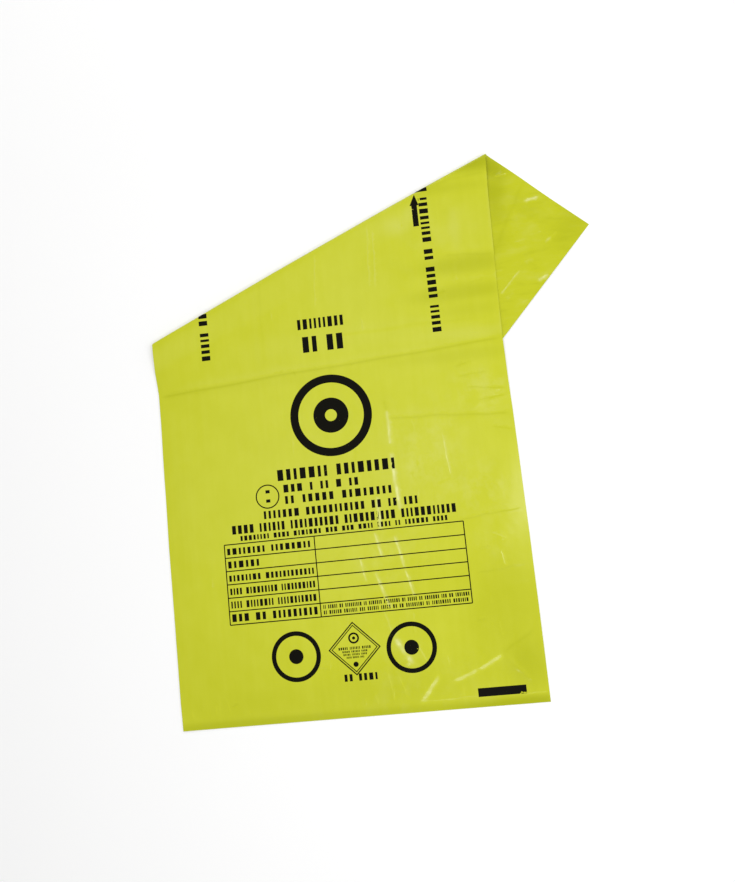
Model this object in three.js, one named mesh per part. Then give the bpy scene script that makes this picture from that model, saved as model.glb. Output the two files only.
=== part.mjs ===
// Biohazard waste bag: one tube of thin blown film, pressed flat, welded across its bottom and open
// at its mouth. It lies front up on a level surface, with its top folded behind it on a slant, so
// that one corner of the mouth end shows beside the right edge.
//
// Millimetres. +X runs to the right across the front panel, +Y from the bottom weld towards the
// fold, and +Z up, away from the surface that the bag lies on.
//
// A point of the film is first given on the flat tube: "across" from the left edge and "along" from
// the cut bottom edge. It is then laid down: the main length stays as it is, a half turn about the
// fold's axis leads underneath, and the flap past it lies on the surface below the main length.

import * as THREE from "three";
import { mergeVertices } from "three/addons/utils/BufferGeometryUtils.js";

// Driving dimensions of the tube
const bagWidth = 500; // across the flat tube
const filmThickness = 0.06; // one wall of film
const weldHeight = 11; // from the cut bottom edge to the inside of the bottom weld
const edgeCrease = 0.4; // width of the pressed crease along each side, where both walls meet

// Driving dimensions of the slanting fold
const foldHeightLeft = 550; // from the cut bottom edge to the fold, along the left edge
const foldHeightRight = 767; // the same along the right edge
const flapRightEdge = 188; // length of the right edge past the fold, as far as the mouth
const foldRadius = 3.6; // radius of the half turn, at the middle of the flattened tube

// Driving dimensions of the air left between the walls
const mainLoft = 3.2; // gap between the walls in the main length
const flapLoft = 1.6; // gap between the walls in the flap
const mouthGap = 1.0; // gap between the walls at the open mouth
const foldLoft = 0.5; // gap between the walls where they are nipped at the fold
const loftRun = 55; // distance over which a gap opens up from an edge, the weld or the fold

// Driving dimensions of how the main length lies over the flap
const layerClearance = 0.3; // air between the flap and the film that lies on it
const drapeMargin = 34; // how far past the flap's outline the main length is still lifted
const drapeRun = 45; // distance over which it then comes down to the surface
const foldSettle = 60; // distance over which the fold's height dies away from the bend

// Storage creases pressed into the front panel
const creaseRise = 0.7; // height of a crease's ridge
const creaseHalfWidth = 5; // half the width of a ridge at its foot
const lengthwiseCreases = [158, 243, 325]; // distance of each lengthwise crease from the left edge
const crossCreaseLeft = 468; // height of the crosswise crease at the left edge
const crossCreaseRight = 495; // the same at the right edge

// Spacing of the mesh
const columnStep = 44;
const mainRowStep = 40;
const flapRowStep = 50;
const bendRows = 7;
const edgeColumns = [9, 24]; // columns close to each side edge
const edgeRows = [8, 24]; // rows close to the weld and to each side of the fold

const filmColour = 0xcdd043;

// Sizes that follow
const bagLength = foldHeightRight + flapRightEdge;
const foldAlong = new THREE.Vector2(bagWidth, foldHeightRight - foldHeightLeft).normalize();
const foldAway = new THREE.Vector2(-foldAlong.y, foldAlong.x); // out of the main length
const foldStart = new THREE.Vector2(0, foldHeightLeft);
const foldHalfThickness = foldLoft / 2 + filmThickness;
const bendStart = -(foldRadius + foldHalfThickness); // the fold line is the bend's outermost edge
const bendEnd = bendStart + Math.PI * foldRadius;
const flapThickness = flapLoft + 2 * filmThickness;
const liftOverFlap = flapThickness + layerClearance;
const crossCreaseSlope = (crossCreaseRight - crossCreaseLeft) / bagWidth;

/** Rises from 0 to 1 as a share goes from 0 to 1, and starts and ends level. */
function ease(share) {
  return THREE.MathUtils.smoothstep(share, 0, 1);
}

/** Rises from 0 to 1 like the shoulder of a pillow, steep at the edge and level at the top. */
function shoulder(distance) {
  const left = 1 - Math.min(Math.max(distance / loftRun, 0), 1);
  return 1 - left * left;
}

/** Distance of a point of the flat tube past the fold line: below 0 in the main length. */
function pastFold(across, along) {
  return new THREE.Vector2(across, along).sub(foldStart).dot(foldAway);
}

/** Gap between the two walls at a point of the flat tube. */
function wallGap(across, along) {
  const fromSide = Math.min(across, bagWidth - across) - edgeCrease;
  const beyond = pastFold(across, along);
  const sides = shoulder(fromSide);
  if (beyond > 0) {
    const fromMouth = bagLength - along;
    const opened = THREE.MathUtils.lerp(foldLoft, flapLoft, shoulder(beyond - bendEnd));
    const atMouth = THREE.MathUtils.lerp(mouthGap, opened, shoulder(fromMouth));
    return sides * Math.min(opened, atMouth);
  }
  const full = THREE.MathUtils.lerp(foldLoft, mainLoft, shoulder(bendStart - beyond));
  return sides * shoulder(along - weldHeight) * full;
}

/** Height of the storage creases above the front panel at a point of the flat tube. */
function creaseHeight(across, along) {
  const crossAt = crossCreaseLeft + crossCreaseSlope * across;
  const offsets = [...lengthwiseCreases.map((place) => across - place), along - crossAt];
  const nearest = Math.min(...offsets.map(Math.abs));
  const ridge = Math.max(1 - nearest / creaseHalfWidth, 0);
  const fromSide = Math.min(across, bagWidth - across) - edgeCrease;
  const fromBend = bendStart - pastFold(across, along);
  return creaseRise * ridge * shoulder(Math.min(fromSide, along - weldHeight, fromBend));
}

/** Place on the surface of a point past the bend, once it is turned over behind the fold. */
function turnedUnder(across, along) {
  const pastBend = pastFold(across, along) - bendEnd;
  const shift = bendEnd - bendStart + 2 * pastBend;
  return new THREE.Vector2(across, along).addScaledVector(foldAway, -shift);
}

const flapOutline = [
  foldStart,
  turnedUnder(0, bagLength),
  turnedUnder(bagWidth, bagLength),
  new THREE.Vector2(bagWidth, foldHeightRight),
];

/** Distance of a place on the surface outside the flap's outline, or 0 within it. */
function outsideFlap(place) {
  let inside = true;
  let nearest = Infinity;
  flapOutline.forEach((corner, index) => {
    const next = flapOutline[(index + 1) % flapOutline.length];
    const side = next.clone().sub(corner);
    const offset = place.clone().sub(corner);
    inside = inside && side.cross(offset) >= 0;
    const share = THREE.MathUtils.clamp(offset.dot(side) / side.lengthSq(), 0, 1);
    nearest = Math.min(nearest, offset.addScaledVector(side, -share).length());
  });
  return inside ? 0 : nearest;
}

/** Height of the middle of the flattened tube above the surface, in the main length. */
function mainHeight(across, along, halfThickness) {
  const place = new THREE.Vector2(across, along);
  const lifted = 1 - ease((outsideFlap(place) - drapeMargin) / drapeRun);
  const fromBend = bendStart - pastFold(across, along);
  const foldTop = 2 * foldRadius + foldHalfThickness;
  const level = lifted * liftOverFlap + halfThickness;
  return THREE.MathUtils.lerp(foldTop, level, ease(fromBend / foldSettle));
}

/** Lays a point of the film down: its place on the flat tube, and its offset towards the front. */
function layDown(across, along, offset) {
  const halfThickness = wallGap(across, along) / 2 + filmThickness;
  const turn = (pastFold(across, along) - bendStart) / foldRadius;
  if (turn <= 0) {
    return new THREE.Vector3(across, along, mainHeight(across, along, halfThickness) + offset);
  }
  if (turn >= Math.PI) {
    const under = turnedUnder(across, along);
    return new THREE.Vector3(under.x, under.y, halfThickness - offset);
  }
  const reach = (foldRadius + offset) * Math.sin(turn) - foldRadius * turn;
  const place = new THREE.Vector2(across, along).addScaledVector(foldAway, reach);
  const height = foldHalfThickness + foldRadius + (foldRadius + offset) * Math.cos(turn);
  return new THREE.Vector3(place.x, place.y, height);
}

/** Values from start to end in even steps no longer than the given step, ends left out. */
function between(start, end, step) {
  const count = Math.ceil((end - start) / step);
  return Array.from({ length: count - 1 }, (_, index) => start + ((index + 1) / count) * (end - start));
}

/** Distances across the tube at which the mesh has its columns. */
function columnPlaces() {
  const edges = [0, edgeCrease, ...edgeColumns];
  const ridge = [-creaseHalfWidth, 0, creaseHalfWidth];
  const creases = lengthwiseCreases.flatMap((place) => ridge.map((distance) => place + distance));
  const anchors = [edges.at(-1), ...creases, bagWidth - edges.at(-1)];
  const fill = anchors.slice(1).flatMap((place, index) => between(anchors[index], place, columnStep));
  const mirrored = edges.map((place) => bagWidth - place);
  return [...edges, ...creases, ...fill, ...mirrored].sort((a, b) => a - b);
}

/** A row of the mesh: a straight line over the flat tube, by its height at the two side edges. */
function row(left, right) {
  return { left, right };
}

/** Even rows between two rows, no further apart than the given step, ends left out. */
function rowsBetween(from, to, step) {
  const reach = Math.max(Math.abs(to.left - from.left), Math.abs(to.right - from.right));
  return between(0, 1, step / reach).map((share) =>
    row(THREE.MathUtils.lerp(from.left, to.left, share), THREE.MathUtils.lerp(from.right, to.right, share)),
  );
}

/** Row that runs parallel to the fold line, at a distance past it. */
function rowPastFold(distance) {
  const rise = distance / foldAlong.x;
  return row(foldHeightLeft + rise, foldHeightRight + rise);
}

/** Rows of the mesh from the cut bottom edge to the mouth. */
function rowPlaces() {
  const cut = row(0, 0);
  const weld = row(weldHeight, weldHeight);
  const weldRows = edgeRows.map((distance) => row(weldHeight + distance, weldHeight + distance));
  const crease = row(crossCreaseLeft, crossCreaseRight);
  const creaseRows = [-creaseHalfWidth, 0, creaseHalfWidth].map((distance) =>
    row(crease.left + distance, crease.right + distance),
  );
  const beforeBend = [...edgeRows].reverse().map((distance) => rowPastFold(bendStart - distance));
  const bend = Array.from({ length: bendRows + 1 }, (_, index) =>
    rowPastFold(THREE.MathUtils.lerp(bendStart, bendEnd, index / bendRows)),
  );
  const afterBend = edgeRows.map((distance) => rowPastFold(bendEnd + distance));
  const mouth = row(bagLength, bagLength);
  return [
    cut,
    weld,
    ...weldRows,
    ...rowsBetween(weldRows.at(-1), creaseRows[0], mainRowStep),
    ...creaseRows,
    ...rowsBetween(creaseRows.at(-1), beforeBend[0], mainRowStep),
    ...beforeBend,
    ...bend,
    ...afterBend,
    ...rowsBetween(afterBend.at(-1), mouth, flapRowStep),
    mouth,
  ];
}

const columns = columnPlaces();
const rows = rowPlaces();
const lastColumn = columns.length - 1;
const lastRow = rows.length - 1;

/** Point of the film at a column and row: panel is 1 for the front and -1 for the back. */
function filmPoint(column, rowIndex, panel, skin) {
  const across = columns[column];
  const line = rows[rowIndex];
  const along = THREE.MathUtils.lerp(line.left, line.right, across / bagWidth);
  const onSideCrease = column === 0 || column === lastColumn;
  const wall = skin === "outer" && !onSideCrease ? filmThickness : 0;
  const crease = panel > 0 && !onSideCrease ? creaseHeight(across, along) : 0;
  const offset = panel * (wallGap(across, along) / 2 + wall) + crease;
  return layDown(across, along, onSideCrease ? 0 : offset);
}

/** Collects triangles between film points, with their faces turned out of the film. */
class FilmSurface {
  constructor() {
    this.positions = [];
  }

  /**
   * Adds the four-sided face a, b, c, d, seen anticlockwise from its facing side, or clockwise when
   * it is turned. Its diagonal runs from a to c both ways, so that skins over each other stay apart.
   */
  quad(corners, turned) {
    const [a, b, c, d] = corners;
    for (const triangle of turned ? [[a, d, c], [a, c, b]] : [[a, b, c], [a, c, d]]) {
      const [p, q, r] = triangle;
      if (p.distanceTo(q) > 0 && q.distanceTo(r) > 0 && r.distanceTo(p) > 0) {
        triangle.forEach((point) => this.positions.push(point.x, point.y, point.z));
      }
    }
  }

  /** Adds one skin of a panel between two columns, from a row to the mouth. */
  panel(firstColumn, endColumn, firstRow, panel, skin) {
    const facesBack = (panel > 0) !== (skin === "outer");
    for (let j = firstRow; j < lastRow; j += 1) {
      for (let i = firstColumn; i < endColumn; i += 1) {
        const steps = [[i, j], [i + 1, j], [i + 1, j + 1], [i, j + 1]];
        this.quad(steps.map(([column, rowIndex]) => filmPoint(column, rowIndex, panel, skin)), facesBack);
      }
    }
  }

  /** Adds the cut edge of the film around the mouth, between its outer and inner skins. */
  mouthEdge() {
    for (let i = 0; i < lastColumn; i += 1) {
      const inner = [i + 1, i].map((column) => THREE.MathUtils.clamp(column, 1, lastColumn - 1));
      for (const panel of [1, -1]) {
        const outerSide = [i, i + 1].map((column) => filmPoint(column, lastRow, panel, "outer"));
        const innerSide = inner.map((column) => filmPoint(column, lastRow, panel, "inner"));
        this.quad([...outerSide, ...innerSide], panel < 0);
      }
    }
  }

  /** Adds the cut edge along the bottom, across the two welded walls. */
  bottomEdge() {
    for (let i = 0; i < lastColumn; i += 1) {
      const back = [i, i + 1].map((column) => filmPoint(column, 0, -1, "outer"));
      const front = [i + 1, i].map((column) => filmPoint(column, 0, 1, "outer"));
      this.quad([...back, ...front], false);
    }
  }

  /** The collected faces as one geometry with shared vertices. */
  geometry() {
    const soup = new THREE.BufferGeometry();
    soup.setAttribute("position", new THREE.Float32BufferAttribute(this.positions, 3));
    const joined = mergeVertices(soup, filmThickness / 100);
    joined.computeVertexNormals();
    return joined;
  }
}

/** The whole bag as one closed body of film. */
function bagFilmGeometry() {
  const surface = new FilmSurface();
  for (const panel of [1, -1]) {
    surface.panel(0, lastColumn, 0, panel, "outer");
    surface.panel(1, lastColumn - 1, 1, panel, "inner");
  }
  surface.mouthEdge();
  surface.bottomEdge();
  return surface.geometry();
}

const filmMaterial = new THREE.MeshStandardMaterial({ color: filmColour, roughness: 0.34, metalness: 0 });
const bagFilm = new THREE.Mesh(bagFilmGeometry(), filmMaterial);
bagFilm.name = "bag_film";

const bag = new THREE.Group();
bag.add(bagFilm);

// The origin is at the middle of the bag's outline, on the surface that it lies on.
const extent = new THREE.Box3().setFromObject(bag);
const middle = extent.getCenter(new THREE.Vector3());
bag.position.set(-middle.x, -middle.y, -extent.min.z);

export default bag;
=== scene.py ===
"""Dresses the flat biohazard waste bag: its creased film, its black print, the floor, lights and camera.

The film is one closed shell of its real wall thickness. Each panel is first triangulated on the flat
tube, in "across" (from the left edge) and "along" (from the cut bottom edge), with its creases and its
print as lines of the mesh. It is then laid down as the bag lies: the main length front up, a half turn
at the slanting fold, and the flap underneath, whose corner shows beside the right edge.
"""

import logging
import math
from collections.abc import Iterable, Sequence
from dataclasses import dataclass, field
from enum import Enum

import bpy
import numpy as np
from mathutils import Matrix, Vector
from mathutils.geometry import delaunay_2d_cdt


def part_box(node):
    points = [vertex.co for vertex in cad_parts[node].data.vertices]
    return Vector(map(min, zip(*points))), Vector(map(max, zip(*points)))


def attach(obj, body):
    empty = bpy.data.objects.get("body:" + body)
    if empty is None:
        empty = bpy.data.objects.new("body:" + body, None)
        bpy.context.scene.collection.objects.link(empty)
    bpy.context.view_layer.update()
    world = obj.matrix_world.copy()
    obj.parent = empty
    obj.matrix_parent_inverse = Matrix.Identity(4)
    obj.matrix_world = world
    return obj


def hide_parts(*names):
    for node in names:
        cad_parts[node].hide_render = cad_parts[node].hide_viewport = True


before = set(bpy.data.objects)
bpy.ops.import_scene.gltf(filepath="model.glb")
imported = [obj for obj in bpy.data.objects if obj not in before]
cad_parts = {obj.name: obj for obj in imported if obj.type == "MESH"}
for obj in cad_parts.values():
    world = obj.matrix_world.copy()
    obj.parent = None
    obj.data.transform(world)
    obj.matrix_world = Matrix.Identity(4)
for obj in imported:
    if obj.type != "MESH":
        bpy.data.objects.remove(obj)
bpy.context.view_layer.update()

MM = 0.001
Array = np.ndarray
Pair = tuple[float, float]
Place = tuple[float, float]
Place3 = tuple[float, float, float]
Stretch = tuple[float, float, float]
Colour = tuple[float, float, float, float]
Socket = bpy.types.NodeSocket
Part = tuple[Array, Array, Array, Array]

log = logging.getLogger("waste_bag")


class Panel(Enum):
    """The two walls of the flattened tube, by the side that they face in the main length."""

    FRONT = 1
    BACK = -1


class Tone(Enum):
    """What a printed outline leaves on the film."""

    INK = "ink"
    BARE = "bare"


class CreaseForm(Enum):
    """How the film stands along a crease, seen from its start towards its end."""

    RIDGE = "even ridge"
    SWELL = "soft round ridge"
    VALLEY = "even valley"
    STEP = "step down to the left"
    RIGHT_FLANK = "ridge with a flat steep flank on its right"
    LEFT_FLANK = "ridge with a flat steep flank on its left"


def ease(share: Array) -> Array:
    """Rises from 0 to 1 as a share goes from 0 to 1, and starts and ends level."""
    held = np.clip(share, 0.0, 1.0)
    return held * held * (3.0 - 2.0 * held)


@dataclass(frozen=True)
class FlatTube:
    """Sizes of the flattened tube and of its slanting fold, and the way that it is laid down."""

    width: float = 500 * MM
    wall: float = 0.06 * MM
    weld_height: float = 11 * MM
    edge_crease: float = 0.4 * MM
    fold_left: float = 550 * MM
    fold_right: float = 767 * MM
    flap_right_edge: float = 188 * MM
    fold_radius: float = 3.6 * MM
    main_loft: float = 2.4 * MM
    flap_loft: float = 1.6 * MM
    mouth_gap: float = 1.0 * MM
    fold_loft: float = 0.5 * MM
    loft_run: float = 78 * MM
    layer_clearance: float = 0.3 * MM
    drape_margin: float = 10 * MM
    drape_run: float = 48 * MM
    fold_settle: float = 46 * MM
    least_gap: float = 0.12 * MM
    origin: Place = (0.0, 0.0)

    @property
    def length(self) -> float:
        """Length of the tube from its cut bottom edge to its mouth."""
        return self.fold_right + self.flap_right_edge

    @property
    def fold_direction(self) -> Array:
        """Unit vector along the fold line, up to the right."""
        run = np.array([self.width, self.fold_right - self.fold_left])
        return run / np.linalg.norm(run)

    @property
    def fold_normal(self) -> Array:
        """Unit vector on the flat tube that leads over the fold, out of the main length."""
        run = self.fold_direction
        return np.array([-run[1], run[0]])

    @property
    def fold_half_thickness(self) -> float:
        """Half the thickness of the flattened tube where it is nipped at the fold."""
        return self.fold_loft / 2 + self.wall

    @property
    def bend_start(self) -> float:
        """Distance past the fold line at which the half turn begins."""
        return -(self.fold_radius + self.fold_half_thickness)

    @property
    def bend_end(self) -> float:
        """Distance past the fold line at which the half turn ends."""
        return self.bend_start + math.pi * self.fold_radius

    def past_fold(self, across: Array, along: Array) -> Array:
        """Distance of points of the flat tube past the fold line, below 0 in the main length."""
        normal = self.fold_normal
        return across * normal[0] + (along - self.fold_left) * normal[1]

    def fold_height(self, across: Array | float) -> Array | float:
        """Height of the fold line above the cut bottom edge."""
        return self.fold_left + (self.fold_right - self.fold_left) * across / self.width

    def shoulder(self, distance: Array) -> Array:
        """Rises from 0 to 1 like the shoulder of a pillow, steep at the edge and level at the top."""
        left = 1.0 - np.clip(distance / self.loft_run, 0.0, 1.0)
        return 1.0 - left * left

    def from_sides(self, across: Array) -> Array:
        """Distance of points from the pressed crease along the nearer side edge."""
        return np.minimum(across, self.width - across) - self.edge_crease

    def wall_gap(self, across: Array, along: Array) -> Array:
        """Gap between the two walls of the flattened tube."""
        past = self.past_fold(across, along)
        sides = self.shoulder(self.from_sides(across))
        rise = self.shoulder(past - self.bend_end)
        opened = self.fold_loft + (self.flap_loft - self.fold_loft) * rise
        to_mouth = self.shoulder(self.length - along)
        at_mouth = self.mouth_gap + (opened - self.mouth_gap) * to_mouth
        flap = np.minimum(opened, at_mouth)
        fill = self.shoulder(self.bend_start - past)
        main = self.fold_loft + (self.main_loft - self.fold_loft) * fill
        return sides * np.where(past > 0, flap, main * self.shoulder(along - self.weld_height))

    def turned_under(self, across: Array, along: Array) -> tuple[Array, Array]:
        """Places on the floor of points past the bend, once they are turned over behind the fold."""
        past_bend = self.past_fold(across, along) - self.bend_end
        shift = self.bend_end - self.bend_start + 2 * past_bend
        normal = self.fold_normal
        return across - shift * normal[0], along - shift * normal[1]

    def flap_outline(self) -> Array:
        """Corners of the flap on the floor, anticlockwise from the fold's left end."""
        across = np.array([0.0, self.width])
        mouth = np.array([self.length, self.length])
        corners = np.stack(self.turned_under(across, mouth), axis=1)
        return np.array([[0.0, self.fold_left], corners[0], corners[1], [self.width, self.fold_right]])

    def outside_flap(self, across: Array, along: Array) -> Array:
        """Distance of places on the floor outside the flap's outline, or 0 within it."""
        outline = self.flap_outline()
        inside = np.ones_like(across, dtype=bool)
        nearest = np.full_like(across, np.inf)
        for corner, following in zip(outline, np.roll(outline, -1, axis=0)):
            side = following - corner
            offset_x, offset_y = across - corner[0], along - corner[1]
            inside &= side[0] * offset_y - side[1] * offset_x >= 0
            share = np.clip((offset_x * side[0] + offset_y * side[1]) / (side @ side), 0.0, 1.0)
            reach = np.hypot(offset_x - share * side[0], offset_y - share * side[1])
            nearest = np.minimum(nearest, reach)
        return np.where(inside, 0.0, nearest)

    def main_height(self, across: Array, along: Array, half: Array) -> Array:
        """Height of the middle of the flattened tube above the floor, in the main length."""
        over = self.flap_loft + 2 * self.wall + self.layer_clearance
        lifted = 1.0 - ease((self.outside_flap(across, along) - self.drape_margin) / self.drape_run)
        settled = ease((self.bend_start - self.past_fold(across, along)) / self.fold_settle)
        top = 2 * self.fold_radius + self.fold_half_thickness
        return top + (lifted * over + half - top) * settled


class LatticeNoise:
    """Smooth noise between -1 and 1 over the flat tube, the same on every run."""

    def __init__(self, cell: float, seed: int, reach: float = 1.1) -> None:
        """Draws the values at the corners of a square lattice.

        Args:
            cell: Size of a lattice square.
            seed: Seed of the draw.
            reach: Largest coordinate that is asked for.
        """
        self.cell = cell
        self.count = int(reach / cell) + 4
        self.values = np.random.default_rng(seed).uniform(-1.0, 1.0, (self.count, self.count))

    def __call__(self, across: Array, along: Array) -> Array:
        """Noise at the given places."""
        gx, gy = across / self.cell + 1.5, along / self.cell + 1.5
        x0 = np.clip(gx.astype(int), 0, self.count - 2)
        y0 = np.clip(gy.astype(int), 0, self.count - 2)
        fx, fy = ease(gx - x0), ease(gy - y0)
        low = self.values[x0, y0] * (1 - fx) + self.values[x0 + 1, y0] * fx
        high = self.values[x0, y0 + 1] * (1 - fx) + self.values[x0 + 1, y0 + 1] * fx
        return low * (1 - fy) + high * fy


@dataclass(frozen=True)
class Crease:
    """One crease line in the film, from one place of the flat tube to another, in millimetres.

    A crease with a flank is sharp on its line: the flank is one flat strip of the crease's width, and
    the other side dies away over three times that width. `rub` is how far it has rubbed the print, and
    `unsteady` how much it comes and goes along its length.
    """

    STRAY_SHARE, MOST_STRAY = 0.008, 1.0 * MM
    LONG_BREAK, SHORT_BREAK, TAPER_WAVE = 31 * MM, 13 * MM, 24 * MM
    # Strengths and runs of the painted highlights and painted shade that creases put into the film's
    # colour.
    FLANK_TONE, SWELL_TONE, STEP_LIGHT, STEP_DARK = 0.6, 0.16, 0.12, 0.85
    STEP_LIGHT_RUN, STEP_LINE = 6 * MM, 0.8 * MM
    RUB_REACH, RUB_HEAD_START = 2.0 * MM, 0.2
    SHARP_REACH = 0.12 * MM

    start: Place
    end: Place
    rise: float
    half_width: float
    form: CreaseForm = CreaseForm.RIDGE
    end_fade: float = 0.18
    rub: float = 0.0
    unsteady: float = 0.15

    @property
    def ends(self) -> tuple[Array, Array]:
        """Both ends, in metres."""
        return np.array(self.start) * MM, np.array(self.end) * MM

    @property
    def size(self) -> float:
        """Distance between the ends, in metres."""
        first, last = self.ends
        return float(np.linalg.norm(last - first))

    @property
    def flank_side(self) -> int:
        """1 for a flank on the right, -1 for one on the left and 0 for none."""
        sides = {CreaseForm.RIGHT_FLANK: 1, CreaseForm.LEFT_FLANK: -1}
        return sides.get(self.form, 0)

    @property
    def mesh_offsets(self) -> tuple[float, ...]:
        """Distances beside the crease at which the mesh has lines of points, in metres."""
        width = self.half_width * MM
        if self.flank_side:
            return (0.0, self.flank_side * width / 2, self.flank_side * width, -self.flank_side * width / 2)
        shares = {CreaseForm.STEP: (0.25,), CreaseForm.SWELL: (0.4, 0.8, 1.3)}.get(self.form, ())
        return (0.0, *(side * share * width for share in shares for side in (1, -1)))

    def wander(self, ahead: Array) -> Array:
        """How far the crease strays to the right of a straight line, at shares of the way along it."""
        phase = 0.37 * self.start[0] + 0.11 * self.start[1]
        waves = np.sin(math.tau * 1.3 * ahead + phase) + 0.6 * np.sin(math.tau * 3.4 * ahead + 2 * phase)
        held = np.clip(ahead, 0.0, 1.0)
        return min(self.STRAY_SHARE * self.size, self.MOST_STRAY) * waves * 4 * held * (1 - held)

    def reach(self, across: Array, along: Array) -> tuple[Array, Array]:
        """Signed distance to the right of the crease's line, and the share of the way along it."""
        first, last = self.ends
        run = last - first
        ahead = ((across - first[0]) * run[0] + (along - first[1]) * run[1]) / self.size**2
        beside = ((across - first[0]) * run[1] - (along - first[1]) * run[0]) / self.size
        return beside - self.wander(ahead), ahead

    def breaks(self, ahead: Array) -> Array:
        """Share of its full strength that the crease has, at shares of the way along it."""
        phase = 0.23 * self.end[0] + 0.19 * self.end[1]
        long_waves = np.sin(math.tau * self.size / self.LONG_BREAK * ahead + phase)
        short_waves = np.sin(math.tau * self.size / self.SHORT_BREAK * ahead + 2.3 * phase)
        waves = long_waves + 0.8 * short_waves
        return np.clip(1.08 - self.unsteady + self.unsteady * waves, 0.1, 1.0)

    def taper(self, ahead: Array) -> Array:
        """Share of its full width that the crease has, at shares of the way along it."""
        if self.form is CreaseForm.STEP:
            return np.ones_like(ahead)
        phase = 0.31 * self.start[0] + 0.17 * self.end[1]
        waves = 0.80 + 0.20 * np.sin(math.tau * self.size / self.TAPER_WAVE * ahead + phase)
        return np.clip(np.sqrt(np.sin(math.pi * np.clip(ahead, 0.0, 1.0))) * waves, 0.25, 1.0)

    def within(self, ahead: Array, head_start: float = 0.0) -> Array:
        """Rises from 0 at the ends to 1, at shares of the way along the crease."""
        return ease(np.minimum(ahead, 1.0 - ahead) / self.end_fade + head_start)

    def height(self, across: Array, along: Array) -> Array:
        """Height that the crease adds to the film."""
        beside, ahead = self.reach(across, along)
        taper = self.taper(ahead)
        width = self.half_width * MM * taper
        if self.flank_side:
            out = beside * self.flank_side
            flank = np.clip(1.0 - out / width, 0.0, 1.0)
            shape = np.where(out > 0, flank, np.exp(np.minimum(out, 0.0) / (3 * width)))
        elif self.form is CreaseForm.STEP:
            shape = np.tanh(beside / (0.3 * width)) * np.exp(-np.abs(beside) / width) * 0.5
        elif self.form is CreaseForm.SWELL:
            shape = np.exp(-np.square(beside / width))
        else:
            sign = -1.0 if self.form is CreaseForm.VALLEY else 1.0
            shape = sign * np.exp(-np.abs(beside) / width)
        return self.rise * MM * taper * shape * self.within(ahead) * self.breaks(ahead)

    def sharp_points(self, across: Array, along: Array) -> Array:
        """Which points lie on the sharp line of the crease or on the foot of its flank."""
        beside, ahead = self.reach(across, along)
        out = beside * self.flank_side
        foot = self.half_width * MM * self.taper(ahead)
        on_line = (np.abs(out) < self.SHARP_REACH) | (np.abs(out - foot) < self.SHARP_REACH)
        return on_line & (ahead > -0.01) & (ahead < 1.01) & (self.flank_side != 0)

    def tone(self, across: Array, along: Array) -> Array:
        """How much paler the film is along the crease, or deeper where the value is below 0: a painted
        highlight on a flank, swell or step, partly crease whitening, and painted shade in a step's line.
        """
        beside, ahead = self.reach(across, along)
        strength = self.rise * self.within(ahead) * self.breaks(ahead)
        width = self.half_width * MM
        if self.flank_side:
            beside_middle = beside - self.flank_side * width / 2
            return self.FLANK_TONE * strength * np.exp(-np.square(beside_middle / (0.5 * width)))
        if self.form is CreaseForm.SWELL:
            beside_foot = beside - 0.7 * width
            return self.SWELL_TONE * strength * np.exp(-np.square(beside_foot / (0.5 * width)))
        if self.form is CreaseForm.STEP:
            # A step's dark line is painted shade, and the light band beside it is a painted highlight.
            dark = np.exp(-np.square(beside / max(self.STEP_LINE, 0.25 * width)))
            light = np.exp(-np.square((beside + self.STEP_LIGHT_RUN) / self.STEP_LIGHT_RUN))
            return strength * (self.STEP_LIGHT * light - self.STEP_DARK * dark)
        return np.zeros_like(beside)

    def wear(self, across: Array, along: Array) -> Array:
        """How much the crease has rubbed the print, from 0 to 1."""
        beside, ahead = self.reach(across, along)
        within = self.within(ahead, self.RUB_HEAD_START)
        return self.rub * within * np.exp(-np.abs(beside) / self.RUB_REACH)


@dataclass(frozen=True)
class EdgeDrift:
    """Small sideways drift of the film from a true rectangle, in millimetres, at heights up each edge."""

    left: tuple[Place, ...] = (
        (0, 1.2), (35, 0.2), (150, -0.5), (250, -1.4), (350, -1.2), (430, -0.4), (472, -0.7), (505, -3.9),
        (550, -4.2),
    )
    right: tuple[Place, ...] = (
        (0, 1.5), (120, 1.4), (230, 1.0), (300, 0.1), (390, -0.8), (440, -2.0), (495, -2.7), (560, -1.7),
        (640, 0.5), (767, 3.2),
    )
    fold: tuple[Place, ...] = (
        (0, -1.7), (60, -1.3), (180, -0.2), (270, -0.4), (350, -0.7), (420, -1.5), (460, -2.2), (500, -2.8),
    )
    flap_fade: float = 110 * MM
    fold_fade: float = 70 * MM

    @staticmethod
    def _along_knots(knots: tuple[Place, ...], where: Array) -> Array:
        """Value between knots, in metres."""
        places, values = np.array(knots).T
        return np.interp(where / MM, places, values) * MM

    def shift(self, tube: FlatTube, across: Array, along: Array) -> tuple[Array, Array]:
        """How far points of the film have drifted across and along."""
        share = across / tube.width
        past = tube.past_fold(across, along)
        height = np.minimum(along, tube.fold_height(across))
        left, right = self._along_knots(self.left, height), self._along_knots(self.right, height)
        in_main = 1.0 - ease((past - tube.bend_end) / self.flap_fade)
        sideways = (left * (1 - share) + right * share) * in_main
        outward = self._along_knots(self.fold, across) * (1.0 - ease(np.abs(past) / self.fold_fade))
        normal = tube.fold_normal
        return sideways + outward * normal[0], outward * normal[1]


@dataclass(frozen=True)
class Crumple:
    """A family of fine straight buckles in the film, in patches."""

    angle_deg: float
    pitch: float
    rise: float
    patch: float
    seed: int
    share: float = 0.0

    def height(self, across: Array, along: Array) -> Array:
        """Height that the buckles add to the film."""
        angle = math.radians(self.angle_deg)
        drift = LatticeNoise(self.pitch * 3.1 * MM, self.seed)(across, along)
        phase = (across * math.cos(angle) + along * math.sin(angle)) / (self.pitch * MM) + 0.55 * drift
        saw = np.abs((phase % 1.0) - 0.5) * 2.0
        patches = LatticeNoise(self.patch * MM, self.seed + 1)(across, along)
        return self.rise * MM * (np.sqrt(saw * saw + 0.01) - 0.5) * ease((patches - self.share) * 1.6)


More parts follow.
